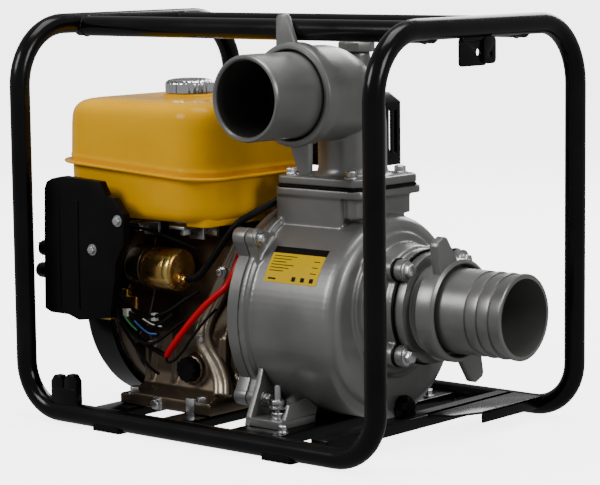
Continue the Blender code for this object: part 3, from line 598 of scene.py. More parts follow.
def lugs():
    y = -FRAME_Y
    parts = []
    for x, top in ((-253, 62), (-229, 65)):
        outline = [
            (x - 11, 18), (x - 11, top - 8), (x - 5, top), (x + 5, top), (x + 11, top - 8), (x + 11, 18),
        ]
        parts.append(softened(prism(outline, y - 6, y + 6, "Y"), 1.6))
    parts.append(softened(box((-261, y - 6.5, 22), (-221, y + 6.5, 47)), 2.0))
    piece("rail_lugs", merged(*parts), BLACK_PAINT)


def channel(x0, x1, z0, z1, reach):
    outline = [
        (x0, z0), (x0, z1), (x1, z1), (x1, z0),
        (x1 - PLATE, z0), (x1 - PLATE, z1 - PLATE), (x0 + PLATE, z1 - PLATE), (x0 + PLATE, z0),
    ]
    return softened(prism(outline, -reach, reach, "Y"), 1.2)


def cross_members():
    reach = FRAME_Y - TUBE_R - 0.6
    for node in ("engine_cross_member_left", "engine_cross_member_right", "pump_cross_member"):
        low, high = extent(node)
        bar = channel(low.x, high.x, low.z, high.z, reach)
        piece(f"{node}_skin", bar, BLACK_PAINT, nodes=[node])
    low, high = 14.0, 28.6
    bar = channel(154.0, 180.0, low, high, reach)
    sheet = prism([(170, 5), (180, 5), (206, 22), (222, 62), (222, reach), (170, reach)],
                  high - PLATE, high)
    edge = box((222 - PLATE, 62, low), (222, reach, high))
    plate = merged(bar, softened(sheet, 0.8), softened(edge, 0.8))
    piece("front_plate_skin", plate, BLACK_PAINT, nodes=["front_base_plate"])


def feet():
    for x, end in zip(FOOT_X, ("left", "right")):
        for side, near in ((-1, "near"), (1, "far")):
            y = side * FRAME_Y
            block = prism(rounded(x - 24, y - 12, x + 24, y + 12, 4), 0.0, 9.0)
            groove = disc("X", (y, BOTTOM_Z), TUBE_R + 0.3, x - 40, x + 40, 48)
            ribs = [box((x + k - 1, y - 20, -1), (x + k + 1, y + 20, 1)) for k in range(-18, 19, 9)]
            name = f"rubber_foot_{near}_{end}"
            piece(f"{name}_skin", softened(cut(block, groove, *ribs), 0.7, 2), RUBBER, nodes=[name])


def hanging_bracket():
    x = RIGHT_X + 2
    saddle = disc("Y", (RIGHT_X, END_TOP_Z), TUBE_R, -60, 40, 48)
    plate = prism(rounded(-46, 460, 6, 494, 5), x, x + PLATE, "X")
    lug = prism(rounded(-4, 462, 20, 494, 6), x + 1.5, x + 7, "X")
    hole = disc("X", (-10, 476), 4.5, x - 5, x + 12, 24)
    slot = disc("X", (9, 473), 3.2, x - 5, x + 12, 24)
    both = softened(cut(join(plate, lug), hole, slot, saddle), 0.7, 2)
    weld = softened(box((x - 1, -44, 489), (x + 5.5, 16, 495)), 2.4, 4)
    piece("hanging_bracket", merged(both, weld), BLACK_PAINT, nodes=["end_bracket"])


# Pump


def drum_point(radius, degrees):
    angle = math.radians(degrees)
    return radius * math.cos(angle), SHAFT_Z + radius * math.sin(angle)


def ears(low, high):
    """Round-ended lugs that stand out from the rim of the casing's flange."""
    shapes = []
    for angle in EAR_ANGLES:
        end = [(EAR_REACH + EAR_END_R * math.sin(math.radians(t)), -EAR_END_R * math.cos(math.radians(t)))
               for t in range(0, 181, 10)]
        root, half = EAR_ROOT
        outline = [(root, -half), *end, (root, half)]
        lug = prism([(u, SHAFT_Z + v) for u, v in outline], low, high, "X")
        shapes.append(spun(lug, "X", angle, (0, 0, SHAFT_Z)))
    return shapes


def stepped(x0, x1, x2, wide, narrow):
    return [
        (x0, -wide), (x1, -wide), (x1, -narrow), (x2, -narrow),
        (x2, narrow), (x1, narrow), (x1, wide), (x0, wide),
    ]


def casing():
    drum = turned(
        [
            (DRUM_BACK, 0), (DRUM_BACK, RIM_R), (1, RIM_R), (4, DRUM_R), (DRUM_FRONT - 16, DRUM_R),
            (DRUM_FRONT - 8, DRUM_R - 2.5), (DRUM_FRONT - 3, DRUM_R - 7), (DRUM_FRONT, DRUM_R - 14),
            (DRUM_FRONT, 0),
        ],
        "X", SHAFT, 96,
    )
    boss = turned([(DRUM_FRONT - 5, 0), (DRUM_FRONT - 5, 92), (DRUM_FRONT + 4, 88), (DRUM_FRONT + 6, 77),
                   (BOSS_FRONT - 13, 74), (BOSS_FRONT - 12, 70), (BOSS_FRONT, 70), (BOSS_FRONT, 0)],
                  "X", (0, SUCTION_Z), 72)
    lugs_round = [disc("X", p, 14, DRUM_FRONT - 5, BOSS_FRONT, 32) for p in INLET_BOLTS]
    neck = prism(stepped(DRUM_BACK, 97, 118, NECK_Y, 40), 190, NECK_TOP)
    lip = prism(rounded(DRUM_BACK, -62, 129, 62, 7), NECK_TOP - 10, NECK_TOP)
    bosses = [disc("Z", (108, y), 11, 271, NECK_TOP, 32) for y in (-46, 46)]
    bulge = disc("X", DRAIN_AT, 19, DRUM_FRONT - 12, DRUM_FRONT - 0.5, 32)
    whole = merged(drum, boss, *lugs_round, neck, lip, *bosses, bulge, *ears(DRUM_BACK, 6))
    chamber = disc("X", SHAFT, DRUM_R - WALL, DRUM_BACK - 5, DRUM_FRONT - WALL, 64)
    bore = disc("X", (0, SUCTION_Z), TAIL_BORE + 2, DRUM_FRONT - 20, BOSS_FRONT + 5, 48)
    duct = prism(stepped(DRUM_BACK + 10, 97 - WALL, 118 - WALL, NECK_Y - WALL, 40 - WALL), 200, NECK_TOP + 5)
    solid = cut(cast(whole, 1.8, 5), chamber, bore, duct)
    piece("casing", solid, SILVER, nodes=["pump_casing"], sharp=60)
    bolts = [fastener("X", 6 if a < 180 else LEG_FRONT, 10.5, drum_point(EAR_REACH, a), 13.0, turn=a)
             for a in EAR_ANGLES]
    piece("casing_bolts", merged(*bolts), STEEL)


def back_plate():
    low, high = BACK_PLATE_START, DRUM_BACK - GAP
    plate = turned(
        [(low, 0), (low, RIM_R - 3), (low + 3, RIM_R), (high - 0.8, RIM_R), (high, RIM_R - 0.8), (high, 0)],
        "X", SHAFT, 96,
    )
    rounds = [softened(ear, 1.0) for ear in ears(low, high)]
    piece("back_plate", merged(plate, *rounds), SILVER, nodes=["casing_back_plate"])


def casing_legs():
    """A cast leg each side, with the stud and bolts that hold it to the cross member."""
    plate = ((72, 18), (140, 18), (136, 30), (118, 68), (111, 90), (96, 98), (60, 98))
    stiffener = ((72, 18), (132, 18), (119, 46), (60, 50))
    for side, near in ((-1, "near"), (1, "far")):
        leg = prism([(y * side, z) for y, z in plate], LEG_BACK, LEG_FRONT, "X")
        rib = prism([(y * side, z) for y, z in stiffener], 56, 62, "X")
        low_y, high_y = sorted((side * 138, side * 72))
        flange = box((LEG_BACK, low_y, 18), (64, high_y, 28))
        relief = disc("X", SHAFT, DRUM_R + 0.6, -20, 120, 80)
        solid = softened(cut(join(leg, flange, rib), relief), 1.2)
        piece(f"leg_{near}", solid, SILVER, nodes=[f"pump_foot_{near}"])
        at = (46, side * 122)
        stud = merged(turned([(28, 0), (28, 4), (69, 4), (70, 3), (70, 0)], "Z", at, 24),
                      fastener("Z", 28, 9, at, 15.0), fastener("Z", 42, 10, at, 15.0, turn=20))
        small = fastener("Z", 17.7, 10, (74, side * 146), 10.0)
        piece(f"leg_bolts_{near}", merged(stud, small), STEEL)


def suction():
    centre = (0.0, SUCTION_Z)
    low = BOSS_FRONT + GAP
    corners = [disc("X", p, 14.5, low, low + 3, 24) for p in INLET_BOLTS]
    sheet = join(disc("X", centre, 71, low, low + 3, 64), *corners)
    sheet = cut(sheet, disc("X", centre, 50, low - 5, low + 10, 48))
    piece("flange_gasket", sheet, RUBBER, nodes=["suction_gasket"])
    low = BOSS_FRONT + 3.6
    corners = [disc("X", p, 13, low, low + 10, 32) for p in INLET_BOLTS]
    ring = join(disc("X", centre, 68, low, low + 12, 72), *corners)
    ring = softened(cut(ring, disc("X", centre, TAIL_BORE, low - 5, 240, 64)), 1.2)
    thread = [(low, TAIL_BORE), (low, 55)]
    for k in range(6):
        x = low + 12 + 4 * k
        thread += [(x, 55), (x + 2, 53.2)]
    thread += [(222, 54), (222, TAIL_BORE)]
    piece("inlet_ring", merged(ring, turned(thread, "X", centre, 72)), SILVER, nodes=["suction_flange"])
    bolts = [fastener("X", low + 10, 9.5, p, 15.0, turn=15 * k) for k, p in enumerate(INLET_BOLTS)]
    piece("inlet_bolts", merged(*bolts), STEEL)
    barbs = [(SUCTION_TIP, TAIL_BORE + 1.5), (SUCTION_TIP, TAIL_R - 1.2), (SUCTION_TIP - 1, TAIL_R)]
    for k in range(3):
        x = SUCTION_TIP - 4 - 17 * k
        barbs += [(x, TAIL_R), (x - 13, TAIL_R - 2.2), (x - 13.6, TAIL_R - 0.4)]
    profile = barbs + [(222.4, TAIL_R), (222.4, TAIL_BORE)]
    piece("inlet_tail", turned(profile, "X", centre, 96), SILVER, nodes=["suction_hose_tail"], sharp=24)


def nut(name, axis, centre, faces, ear_span, tilt, ear, bore, body, node):
    back, front = faces
    step = 2.0 if front > back else -2.0
    ring = turned(
        [
            (back, bore), (back, NUT_R - 3), (back + 1.5 * step, NUT_R), (front - 2.2 * step, NUT_R),
            (front - 1.2 * step, NUT_R - 0.8), (front, NUT_R - 4), (front, bore + 1.2),
            (front - 0.6 * step, bore),
        ],
        axis, centre, 96,
    )
    reach, width, tip = ear
    parts = []
    for sign in (1, -1):
        points = [(-width, 58), (width, 58), (width * 0.97, 61), (tip * 1.1, reach - 4), (tip * 0.7, reach),
                  (-tip * 0.7, reach), (-tip * 1.1, reach - 4), (-width * 0.97, 61)]
        outline = [(centre[0] + u * sign, centre[1] + v * sign) for u, v in points]
        parts.append(spun(prism(outline, *ear_span, axis), axis, tilt, turn_to(axis, back, *centre)))
    wings = [softened(wing, 1.6, 3) for wing in parts]
    piece(name, merged(ring, *wings), SILVER, body=body, nodes=[node], sharp=30)


def nuts():
    nut("inlet_nut", "X", (0.0, SUCTION_Z), (210.0, 237.0), (222.0, 234.0), 23.0, (98.0, 19.0, 10.5),
        56.5, "suction_nut_body", "suction_claw_nut")
    nut("outlet_nut", "Y", (NECK_X, DISCHARGE_Z), (-97.4, -121.0), (-114.5, -105.8), -10.0,
        (98.0, 15.5, 7.7), 55.0, "discharge_nut_body", "discharge_claw_nut")


def flange_outline(grow=0.0):
    return [
        (-3 - grow, -59), (0, -62 - grow), (117, -62 - grow), (130 + grow, -49),
        (130 + grow, 49), (117, 62 + grow), (0, 62 + grow), (-3 - grow, 59),
    ]


def branch(radius, front, back, steps=72):
    """The horizontal branch, sinking and shrinking to a round back."""
    start, count = -60.0, 22
    rings = [[(NECK_X + x, front, DISCHARGE_Z + z) for x, z in circle(0, 0, radius, steps)]]
    for k in range(count):
        t = math.sin(math.radians(90 * k / (count - 0.4)))
        y = start + (back - start) * t
        size = radius * math.sqrt(1 - t * t)
        rings.append([(NECK_X + x, y, DISCHARGE_Z - ELBOW_SINK * t**2 + z)
                      for x, z in circle(0, 0, size, steps)])
    return loft(rings)


def standing(radius, low):
    centre = DISCHARGE_Z - ELBOW_SINK
    dome = [(centre + radius * math.sin(math.radians(a)), radius * math.cos(math.radians(a)))
            for a in range(0, 90, 10)]
    return turned([(low, 0), (low, radius), *dome, (centre + radius, 0)], "Z", (NECK_X, 0), 72)


def elbow():
    flange = prism(flange_outline(), FLANGE_LOW, FLANGE_LOW + 11)
    flare = turned([(FLANGE_LOW + 9, 0), (FLANGE_LOW + 9, 49), (FLANGE_LOW + 14, 45), (FLANGE_LOW + 22, 42),
                    (FLANGE_LOW + 22, 0)], "Z", (NECK_X, 0), 64)
    boss = turned([(430, 0), (430, 19), (PLUG_LOW - 5, 17), (PLUG_LOW - 0.4, 17), (PLUG_LOW - 0.4, 0)],
                  "Z", PLUG_AT, 48)
    thread = disc("Y", (NECK_X, DISCHARGE_Z), 53.6, -107, -90, 72)
    whole = merged(flange, standing(43, FLANGE_LOW), flare, branch(58, -97, 44), boss, thread)
    solid = cut(cast(whole, 1.7, 5), branch(46, -130, 36, 64))
    piece("elbow", solid, SILVER, nodes=["discharge_elbow"], sharp=60)
    sheet = prism(flange_outline(0.4), NECK_TOP + 0.3, NECK_TOP + 3.3)
    piece("elbow_seal", softened(sheet, 0.4, 2), RUBBER, nodes=["elbow_gasket"])
    bolts = [fastener("Z", FLANGE_LOW + 11, 9, (x, y), 13.0, turn=x) for x in (9, 105) for y in (-48, 48)]
    piece("elbow_bolts", merged(*bolts), STEEL)


def priming():
    low = PLUG_LOW
    body = turned(
        [(low, 0), (low, 19), (low + 1.5, 23), (low + 12, 23), (low + 14, 20), (low + 14, 0)],
        "Z", PLUG_AT, 8,
    )
    piece("filler_plug", softened(body, 1.0), SILVER, body="priming_plug_body", nodes=["priming_plug"])


def outlet_tail():
    profile = [
        (-107.5, TAIL_BORE + 2), (-107.5, TAIL_R), (DISCHARGE_TIP + 4, TAIL_R),
        (DISCHARGE_TIP + 2, TAIL_R - 0.4), (DISCHARGE_TIP, TAIL_R - 1.8), (DISCHARGE_TIP, TAIL_BORE + 2.6),
        (DISCHARGE_TIP + 2, TAIL_BORE + 1), (DISCHARGE_TIP + 30, TAIL_BORE),
    ]
    tail = turned(profile, "Y", (NECK_X, DISCHARGE_Z), 96)
    piece("outlet_tail", tail, SILVER, nodes=["discharge_hose_tail"], sharp=30)
    # A thin sheet just inside the tail's bore, painted near-black as painted shade for the shadowed bore.
    shade_sheet = turned([(-107, 44), (-107, 46), (DISCHARGE_TIP + 3.5, 46), (DISCHARGE_TIP + 3.5, 45.2)],
                   "Y", (NECK_X, DISCHARGE_Z), 96)
    piece("outlet_bore_painted_shade", shade_sheet, BORE_PAINTED_SHADE, sharp=30)


def drain():
    low = DRUM_FRONT + GAP
    cap = turned(
        [(low, 0), (low, 15), (low + 3, 15.6), (low + 11, 14), (low + 13.5, 11.5), (low + 14, 9),
         (low + 14, 0)],
        "X", DRAIN_AT, 60, 10, 0.035,
    )
    piece("drain_knob", cap, PLASTIC, body="drain_plug_body", nodes=["drain_plug"])


def drum_patch(x0, x1, a0, a1, radius, thick, steps=16):
    """A sheet bent round the drum, between two heights given as angles above the shaft."""
    rows = []
    for k in range(steps + 1):
        angle = math.radians(180 - (a0 + (a1 - a0) * k / steps))
        rows.append([(x, r * math.cos(angle), SHAFT_Z + r * math.sin(angle))
                     for x, r in ((x0, radius), (x1, radius), (x1, radius + thick), (x0, radius + thick))])
    return loft(rows)


def data_label():
    """A yellow plate bent round the drum, with a black header and plain bars for print."""
    x0, x1 = 21.0, 104.0
    low, high = 23.0, 45.0
    piece("data_label", drum_patch(x0, x1, low, high, DRUM_R - 0.4, 1.0), LABEL_YELLOW)
    bars = [drum_patch(x0, x1, high - 4.2, high, DRUM_R, 0.75)]
    for k in range(6):
        angle = high - 6.4 - 1.8 * k
        bars.append(drum_patch(x0 + 4, x0 + 40 - 7 * (k % 3), angle, angle + 0.45, DRUM_R, 0.75, 4))
        if k % 2:
            bars.append(drum_patch(x1 - 14, x1 - 5, angle, angle + 0.45, DRUM_R, 0.75, 4))
    bars.append(drum_patch(x0 + 6, x0 + 18, low + 1.6, low + 2.6, DRUM_R, 0.75, 4))
    for x in (x1 - 40, x1 - 26, x1 - 12):
        bars.append(drum_patch(x, x + 6, low + 1.4, low + 4.0, DRUM_R, 0.75, 4))
    piece("data_label_print", merged(*bars), LABEL_BLACK)


# Engine


def along_cylinder(bm):
    turn = Matrix.Rotation(-(math.pi / 2 - CYLINDER_TILT), 4, "X")
    return moved(bm, Matrix.Translation((CYLINDER_X, 0, SHAFT_Z)) @ turn)


CASE_OUTLINE = [
    (-130, 18), (-130, 34), (-104, 44), (-98, 60), (-96, 110), (-80, 160), (-76, 228), (-66, 236),
    (48, 236), (66, 200), (80, 150), (84, 60), (96, 44), (112, 34), (112, 18),
]


def trimmed(bm, low, high):
    """A round part of the case with its bottom and top cut flat at two heights."""
    return cut(bm, box((-240, -150, 0), (-190, 150, low)), box((-240, -150, high), (-190, 150, 300)))


def engine_case():
    block = prism(CASE_OUTLINE, *CASE_X, "X")
    bell = trimmed(disc("X", SHAFT, 130, -226, -200, 96), 20, 259)
    feet_plate = box((-218, -130, 18), (-60, 112, 32))
    barrel = along_cylinder(disc("Z", (0, 0), 50, 40, 134, 64))
    fins = [along_cylinder(prism(rounded(-58, -56, 58, 56, 16), h, h + 4)) for h in range(88, 130, 14)]
    filler = disc("Y", FILLER_AT, 18, -106, -80, 40)
    ribs = [prism([(-104, 40), (-112, 32), (-90, 32), (-86, 120), (-98, 112)], x, x + 6, "X")
            for x in (-190, -150, -74)]
    pads = [disc("Y", (-93, 28), 9, -130, -100, 32), disc("Y", (-98, 110), 10, -98, -70, 32),
            disc("Y", (-184, 96), 11, -100, -70, 32), disc("Y", (-74, 196), 9, -88, -70, 32)]
    bosses = [disc("X", drum_point(118, a), 10, -228, -190, 24) for a in (165, 200, 232)]
    whole = merged(block, bell, feet_plate, barrel, *fins, filler, *ribs, *pads, *bosses)
    piece("engine_case", cast(whole, 1.9, 4), BRONZE, nodes=["crankcase"], sharp=60)
    path = [(-57, -78, 236), (-66, -82, 215), (-78, -86, 190), (-92, -90, 162), (-104, -96, 136),
            (-106, -101, 116), (-98, -102, 98), (-82, -103, 80), (-70, -106, 60), (-64, -112, 42)]
    line = smooth_path(path, 70)
    ridge = merged(*[sweep([p + Vector((shift, 2.5 + 0.12 * shift, 0)) for p in line], radius, 20)
                     for shift, radius in ((0, 6.5), (7, 5.0), (14, 6.0))])
    ridge = cast(ridge, 1.4, 4)
    # The ridge takes the lighter bronze, a painted highlight.
    piece("case_ridge", ridge, BRONZE_PAINTED_HIGHLIGHT)
    rim = turned([(-225.6, 120), (-225.6, 130.4), (-222.5, 130.4), (-222.5, 120)], "X", SHAFT, 96)
    piece("case_rim", trimmed(rim, 21, 258), STEEL)
    bolts = [fastener("Z", 32, 9, (x, y), 13.0, turn=x) for x in (-197.7, -80) for y in (-121, 104)]
    small = ((-98, -8, (-98, 110), 0), (-100, -8, (-184, 96), 11), (-88, -7, (-74, 196), 20))
    bolts += [fastener("Y", y, tall, at, 10.0, turn=turn) for y, tall, at, turn in small]
    piece("case_bolts", merged(*bolts), STEEL)
    pad = softened(box((-100, -131.4, 17), (-86, -127, 38)), 0.5, 2)
    piece("machined_pads", pad, STEEL)
    drain_bolt = fastener("Y", -130, -8, (-150, 25), 12.0)
    piece("oil_drain_bolt", drain_bolt, STEEL)


def side_cover():
    x0, x1 = CASE_X[1] + GAP, COVER_END
    outline = ((-88, 46), (-90, 80), (-88, 120), (-76, 170), (-72, 214), (-60, 226),
               (44, 226), (58, 200), (72, 150), (76, 46))

    def section(x, scale):
        return [(x, y * scale, SHAFT_Z - 6 + (z - SHAFT_Z + 6) * scale) for y, z in outline]

    body = loft([section(x0, 1.0), section(x0 + 9, 1.0), section(x0 + 12, 0.95), section(x1, 0.74)])
    ribs = [spun(box((x0 + 2, -2.5, SHAFT_Z + 40), (x1, 2.5, SHAFT_Z + 84)), "X", a, (0, 0, SHAFT_Z))
            for a in range(0, 360, 30) if not 180 < a < 250]
    at = [(-84, 60), (-84, 112), (-72, 160), (-66, 210), (-20, 221), (36, 220), (60, 180), (70, 110),
          (70, 60)]
    rounds = [disc("X", p, 8, x0, x0 + 14, 24) for p in at]
    solid = cast(merged(body, *ribs, *rounds), 1.6, 3)
    piece("side_cover", solid, BRONZE, nodes=["crankcase_cover"], sharp=60)
    bolts = [fastener("X", x0 + 14, 7, p, 9.0, turn=p[1]) for p in at]
    piece("side_cover_bolts", merged(*bolts), STEEL)


def head():
    low = HEAD_LOW
    slabs = [softened(prism(rounded(-50, -50, 50, 50, 10), low, low + HEAD_TALL), 1.2)]
    slabs += [softened(prism(rounded(-60, -58, 60, 58, 14), low + h, low + h + 4), 0.8) for h in (2, 12, 22)]
    piece("head", along_cylinder(merged(*slabs)), BRONZE, nodes=["cylinder_head"])
    low = HEAD_LOW + HEAD_TALL + GAP
    base = softened(prism(rounded(-50, -42, 50, 42, 10), low, low + 6), 1.0)
    dome = softened(prism(rounded(-42, -34, 42, 34, 12), low + 5, low + 22), 5.0, 5)
    piece("valve_cover", along_cylinder(merged(base, dome)), BRONZE, nodes=["rocker_cover"])
    bolts = [along_cylinder(fastener("Z", low + 6, 7, (x, y), 9.0)) for x in (-44, 44) for y in (-36, 36)]
    piece("valve_cover_bolts", merged(*bolts), STEEL)


def shroud():
    low, high = SHROUD_X
    drum = turned(
        [(low, 0), (low, 124), (low + 2, 129), (low + 6, 134), (low + 11, 137), (high, 137), (high, 0)],
        "X", SHAFT, 96,
    )
    top = prism(rounded(-90, 190, 96, 254, 30), low + 4, high, "X")
    inlet = disc("X", SHAFT, 84, low - 5, low + 10, 64)
    chamber = disc("X", SHAFT, 110, low + 6, high + 5, 64)
    below = box((low - 5, -150, 0), (high + 5, 150, 20))
    above = box((low - 5, -150, TANK_BOTTOM - 1.5), (high + 5, 150, 300))
    solid = cut(join(drum, top), chamber, inlet, below, above)
    piece("shroud", softened(solid, 1.0, 2), BLACK_PAINT, nodes=["fan_shroud"])
    low, high = RECOIL_END, SHROUD_X[0] - GAP
    cover = turned(
        [(low, 0), (low, 66), (low + 1, 72), (low + 3, 80), (low + 7, 92), (high - 3, 99), (high - 2, 103),
         (high, 104), (high, 94), (low + 9, 84), (low + 7, 66), (low + 5, 0)],
        "X", SHAFT, 80,
    )
    slots = []
    for k in range(16):
        slot = prism(rounded(-3.5, SHAFT_Z + 34, 3.5, SHAFT_Z + 62, 3, 3), low - 5, low + 7, "X")
        slots.append(spun(slot, "X", 22.5 * k, (0, 0, SHAFT_Z)))
    piece("starter_cover", softened(cut(cover, *slots), 0.5, 2), PLASTIC, nodes=["recoil_cover"])
    bolts = [fastener("X", low + 19.5, -7, drum_point(100, a), 10.0) for a in (30, 150, 270)]
    piece("starter_cover_bolts", merged(*bolts), STEEL)
    x = RECOIL_END - 0.4
    grip = softened(prism(rounded(-36, 196, 36, 216, 8), x - 20, x - 7, "X"), 4.0, 5)
    guide = disc("X", (0, 206), 6, x - 8, x, 24)
    piece("pull_grip", merged(grip, guide), PLASTIC, body="recoil_handle_body", nodes=["recoil_handle"])


def start_box():
    near = BOX_NEAR_Y
    face = [
        (-290, 143), (-288.3, 233), (-286, 298), (-282, 307), (-271.5, 312), (-254, 315.5), (-187, 312),
        (-177, 295), (-163.6, 293), (-151.5, 279), (-146, 274), (-146.5, 235), (-160.6, 212),
        (-163, 187), (-167, 171), (-172.6, 141), (-228, 133), (-247, 138.5), (-279, 138.7),
    ]
    plate = prism(face, near, near + 12, "Y")
    deep = prism(rounded(-286, 140, -206, 250, 8), near + 2, -140, "Y")
    clear = disc("X", SHAFT, 138.5, -320, -190, 96)
    button_hole = disc("X", BUTTON_AT, 10.8, -300, -286.5, 32)
    solid = softened(cut(join(plate, deep), clear, button_hole), 1.6)
    ridge = softened(box((-229, near - 1.4, 146), (-225.6, near + 4, 287)), 0.9)
    seam = softened(box((-261, near - 0.7, 146), (-259.6, near + 4, 300)), 0.4, 2)
    piece("start_box", merged(solid, ridge, seam), PLASTIC, nodes=["control_box"])
    bolts = [fastener("Y", near, -5.5, p, 10.0) for p in ((-200.7, 225.4), (-155.4, 264.9))]
    piece("start_box_bolts", merged(*bolts), STEEL)
    x = -290.3
    key = turned([(x, 0), (x, 10), (x - 14, 10), (x - 16, 8), (x - 16, 0)], "X", KEY_AT, 48, 16, 0.02)
    bow = softened(box((x - 23, -178, 212), (x - 14, -174, 226)), 1.4)
    piece("key", merged(key, bow), PLASTIC, body="key_body", nodes=["ignition_key"])
    button = turned([(x, 0), (x, 10), (x - 18, 10), (x - 21, 9), (x - 23, 6), (x - 23, 0)],
                    "X", BUTTON_AT, 40)
    piece("button", button, PLASTIC, body="button_body", nodes=["breaker_button"])


def seam_height(x):
    high, low = TANK_SEAM
    return high + (low - high) * (x - TANK_X[0]) / (TANK_X[1] - TANK_X[0])


def tank():
    x0, x1 = TANK_X
    y0, y1 = TANK_Y

    def section(z, inset):
        outline = rounded(x0 + inset, y0 + inset, x1 - inset, y1 - inset, 42 - inset * 0.5, 14)
        return [(x, y, z) for x, y in outline]

    def at_seam(inset, shift=0.0):
        return [(x, y, seam_height(x) + shift) for x, y, _ in section(0, inset)]

    bead_line = ((0, -1), (-0.2, 3.5), (-0.9, 5), (-0.9, 7), (-0.1, 8.5), (0, 12))
    crown = ((380, 0.8), (392, 1.8), (398, 3.4), (402.5, 5.8), (406, 9.2), (408.8, 13.8), (410.6, 19.6),
             (411.8, 28), (412.3, 42), (412.5, 70))
    keel = ((TANK_BOTTOM, 22), (263, 16), (266, 10), (270, 6), (275, 3.6), (286, 2))
    upper = loft([at_seam(*p) for p in bead_line] + [section(*p) for p in crown])
    lower = loft([section(*p) for p in keel] + [at_seam(1)])
    seam = softened(loft([at_seam(-8, -3), at_seam(-8)]), 1.1, 4)
    sump = softened(prism(rounded(-93, -138, -54, 10, 10), 257, 272), 2.5, 3)
    collar = turned([(406, 0), (406, 40), (411, 37), (414, 34), (416, 33.4), (416.8, 32), (416.8, 0)],
                    "Z", CAP_AT, 72)
    piece("tank", merged(upper, lower, seam, sump, collar), YELLOW, nodes=["fuel_tank"], sharp=50)
    low = 417.3
    cap = turned(
        [(low, 0), (low, 29), (low + 1, 31), (low + 12, 31), (low + 14.5, 30), (low + 17, 26.5),
         (low + 18.3, 20), (low + 19, 10), (low + 19, 0)],
        "Z", CAP_AT, 168, 28, 0.014,
    )
    piece("tank_cap", cap, CHROME, body="fuel_cap_body", nodes=["fuel_cap"])


def silencer():
    x0, x1 = -112.0, 20.0
    y0, y1 = 84.0, 164.0
    outer = crowned(x0, y0, x1, y1, 8, ((318, 0), (400, 0), (412, 10)))
    inner = crowned(x0, y0, x1, y1, 6, ((310, 2.5), (399, 2.5), (409, 11)))
    slots = [prism(rounded(y - 3, 334, y + 3, 390, 2.9, 4), x1 - 10, x1 + 10, "X")
             for y in (100, 112, 124, 136, 148)]
    slots += [prism(rounded(x - 3, 334, x + 3, 390, 2.9, 4), y1 - 10, y1 + 10, "Y")
              for x in range(-96, 12, 12)]
    piece("silencer_guard", softened(cut(outer, inner, *slots), 0.7, 2), BLACK_PAINT, nodes=["muffler_guard"])
    case = softened(prism(rounded(-104, 94, 8, 152, 18), 330, 398), 6.0, 5)
    pipe = disc("Z", (-60, 118), 14, 262, 332, 40)
    piece("silencer", merged(case, pipe), CAST_IRON, nodes=["muffler"])


def air_box():
    body = softened(prism(rounded(-286, 66, -134, 180, 26), 286, 348), 2.0)
    rim = softened(prism(rounded(-290, 62, -130, 184, 28), 345, 350), 1.2)
    levels = ((350, 1), (364, 1), (369, 2.4), (373, 5), (376, 9), (378.5, 15), (379.6, 24), (380, 34))
    cover = crowned(-290, 62, -130, 184, 28, levels, 10)
    knob = turned([(379, 0), (379, 12), (379.6, 12), (380, 10), (380, 0)], "Z", (-210, 123), 40)
    piece("air_box", merged(body, rim, cover, knob), PLASTIC, nodes=["air_cleaner"])


def starter():
    """The gold electric starter with its bright end rim, terminal and dark nose."""
    x0 = -167.0
    body = turned(
        [(x0, 0), (x0, 26.6), (x0 + 1, 27), (-133, 27), (-132, 26.4), (-131, 26.4), (-130, 27), (-124, 27),
         (-121.6, 26), (-119.8, 23.5), (-119, 20), (-119, 0)],
        "X", STARTER, 80,
    )
    piece("starter_can", body, ZINC_GOLD, nodes=["starter_motor"])
    rim = turned([(-131, 20), (-131, 27.25), (-124.5, 27.25), (-122, 26.4), (-122, 20)], "X", STARTER, 80)
    piece("starter_rim", rim, BRIGHT_GOLD)
    terminal = merged(
        turned([(-121, 0), (-121, 7), (-116, 7), (-115, 5.5), (-115, 0)], "X", (-118, 187), 32),
        fastener("X", -115, 8, (-118, 187), 9.0, washer=1.2),
    )
    piece("starter_terminal", terminal, ZINC_GOLD)
    nose = turned(
        [(-199.7, 0), (-199.7, 22), (-197, 26), (-194, 28), (-172, 28), (-171, 26.5), (-170, 26.5),
         (-169, 28), (-167.3, 28), (-167.3, 0)],
        "X", STARTER, 72,
    )
    piece("starter_nose", nose, BRONZE, nodes=["starter_nose_bracket"])


def oil_plug():
    low = -106.3
    grip = turned([(low, 0), (low, 16), (low - 10, 15.4), (low - 12, 13.5), (low - 12, 0)],
                  "Y", FILLER_AT, 72, 12, 0.045)
    piece("dipstick", grip, PLASTIC, body="oil_plug_body", nodes=["oil_filler_plug"])


def engine_trim():
    low, high = extent("tank_bracket")
    outline = [(-62, 236.3), (-62, 252), (-50, 261.6), (26, 261.6), (40, 252), (40, 236.3),
               (34, 236.3), (34, 248), (22, 255), (-48, 255), (-57, 248), (-57, 236.3)]
    plate = softened(prism(outline, low.x, high.x, "X"), 0.8, 2)
    piece("tank_carrier", plate, STEEL, nodes=["tank_bracket"])
    tabs = []
    for x in (-186, -108):
        tabs.append(softened(box((x - 13, -134, 252), (x + 13, -96, 256)), 1.0))
        tabs.append(softened(box((x - 13, -98, 236), (x + 13, -94, 256)), 1.0))
        tabs.append(fastener("Z", 252, -9, (x, -118), 12.0))
    piece("tank_tabs", merged(*tabs), STEEL)


# Leads


def heavy_leads():
    red = [
        (-141, -121, 86), (-133, -122, 96), (-116, -123, 114), (-97.5, -124, 133), (-74, -122, 156),
        (-59, -118, 169.5), (-46, -112, 182), (-44, -98, 200), (-44, -88, 222),
    ]
    black = [
        (-103.2, -119, 187.4), (-97, -121, 190), (-86.5, -121, 192.2), (-76, -119, 201.7),
        (-60, -116, 221.5), (-42, -109, 249), (-31, -102, 263), (-20, -92, 272), (-14, -70, 281),
        (-14, -45, 288), (-15, -34, 293),
    ]
    piece("red_lead", sweep(smooth_path(red, 90), 4.2, 24), RED, nodes=["red_cable"])
    piece("black_lead", sweep(smooth_path(black, 100), 4.6, 24), RUBBER, nodes=["black_cable"])


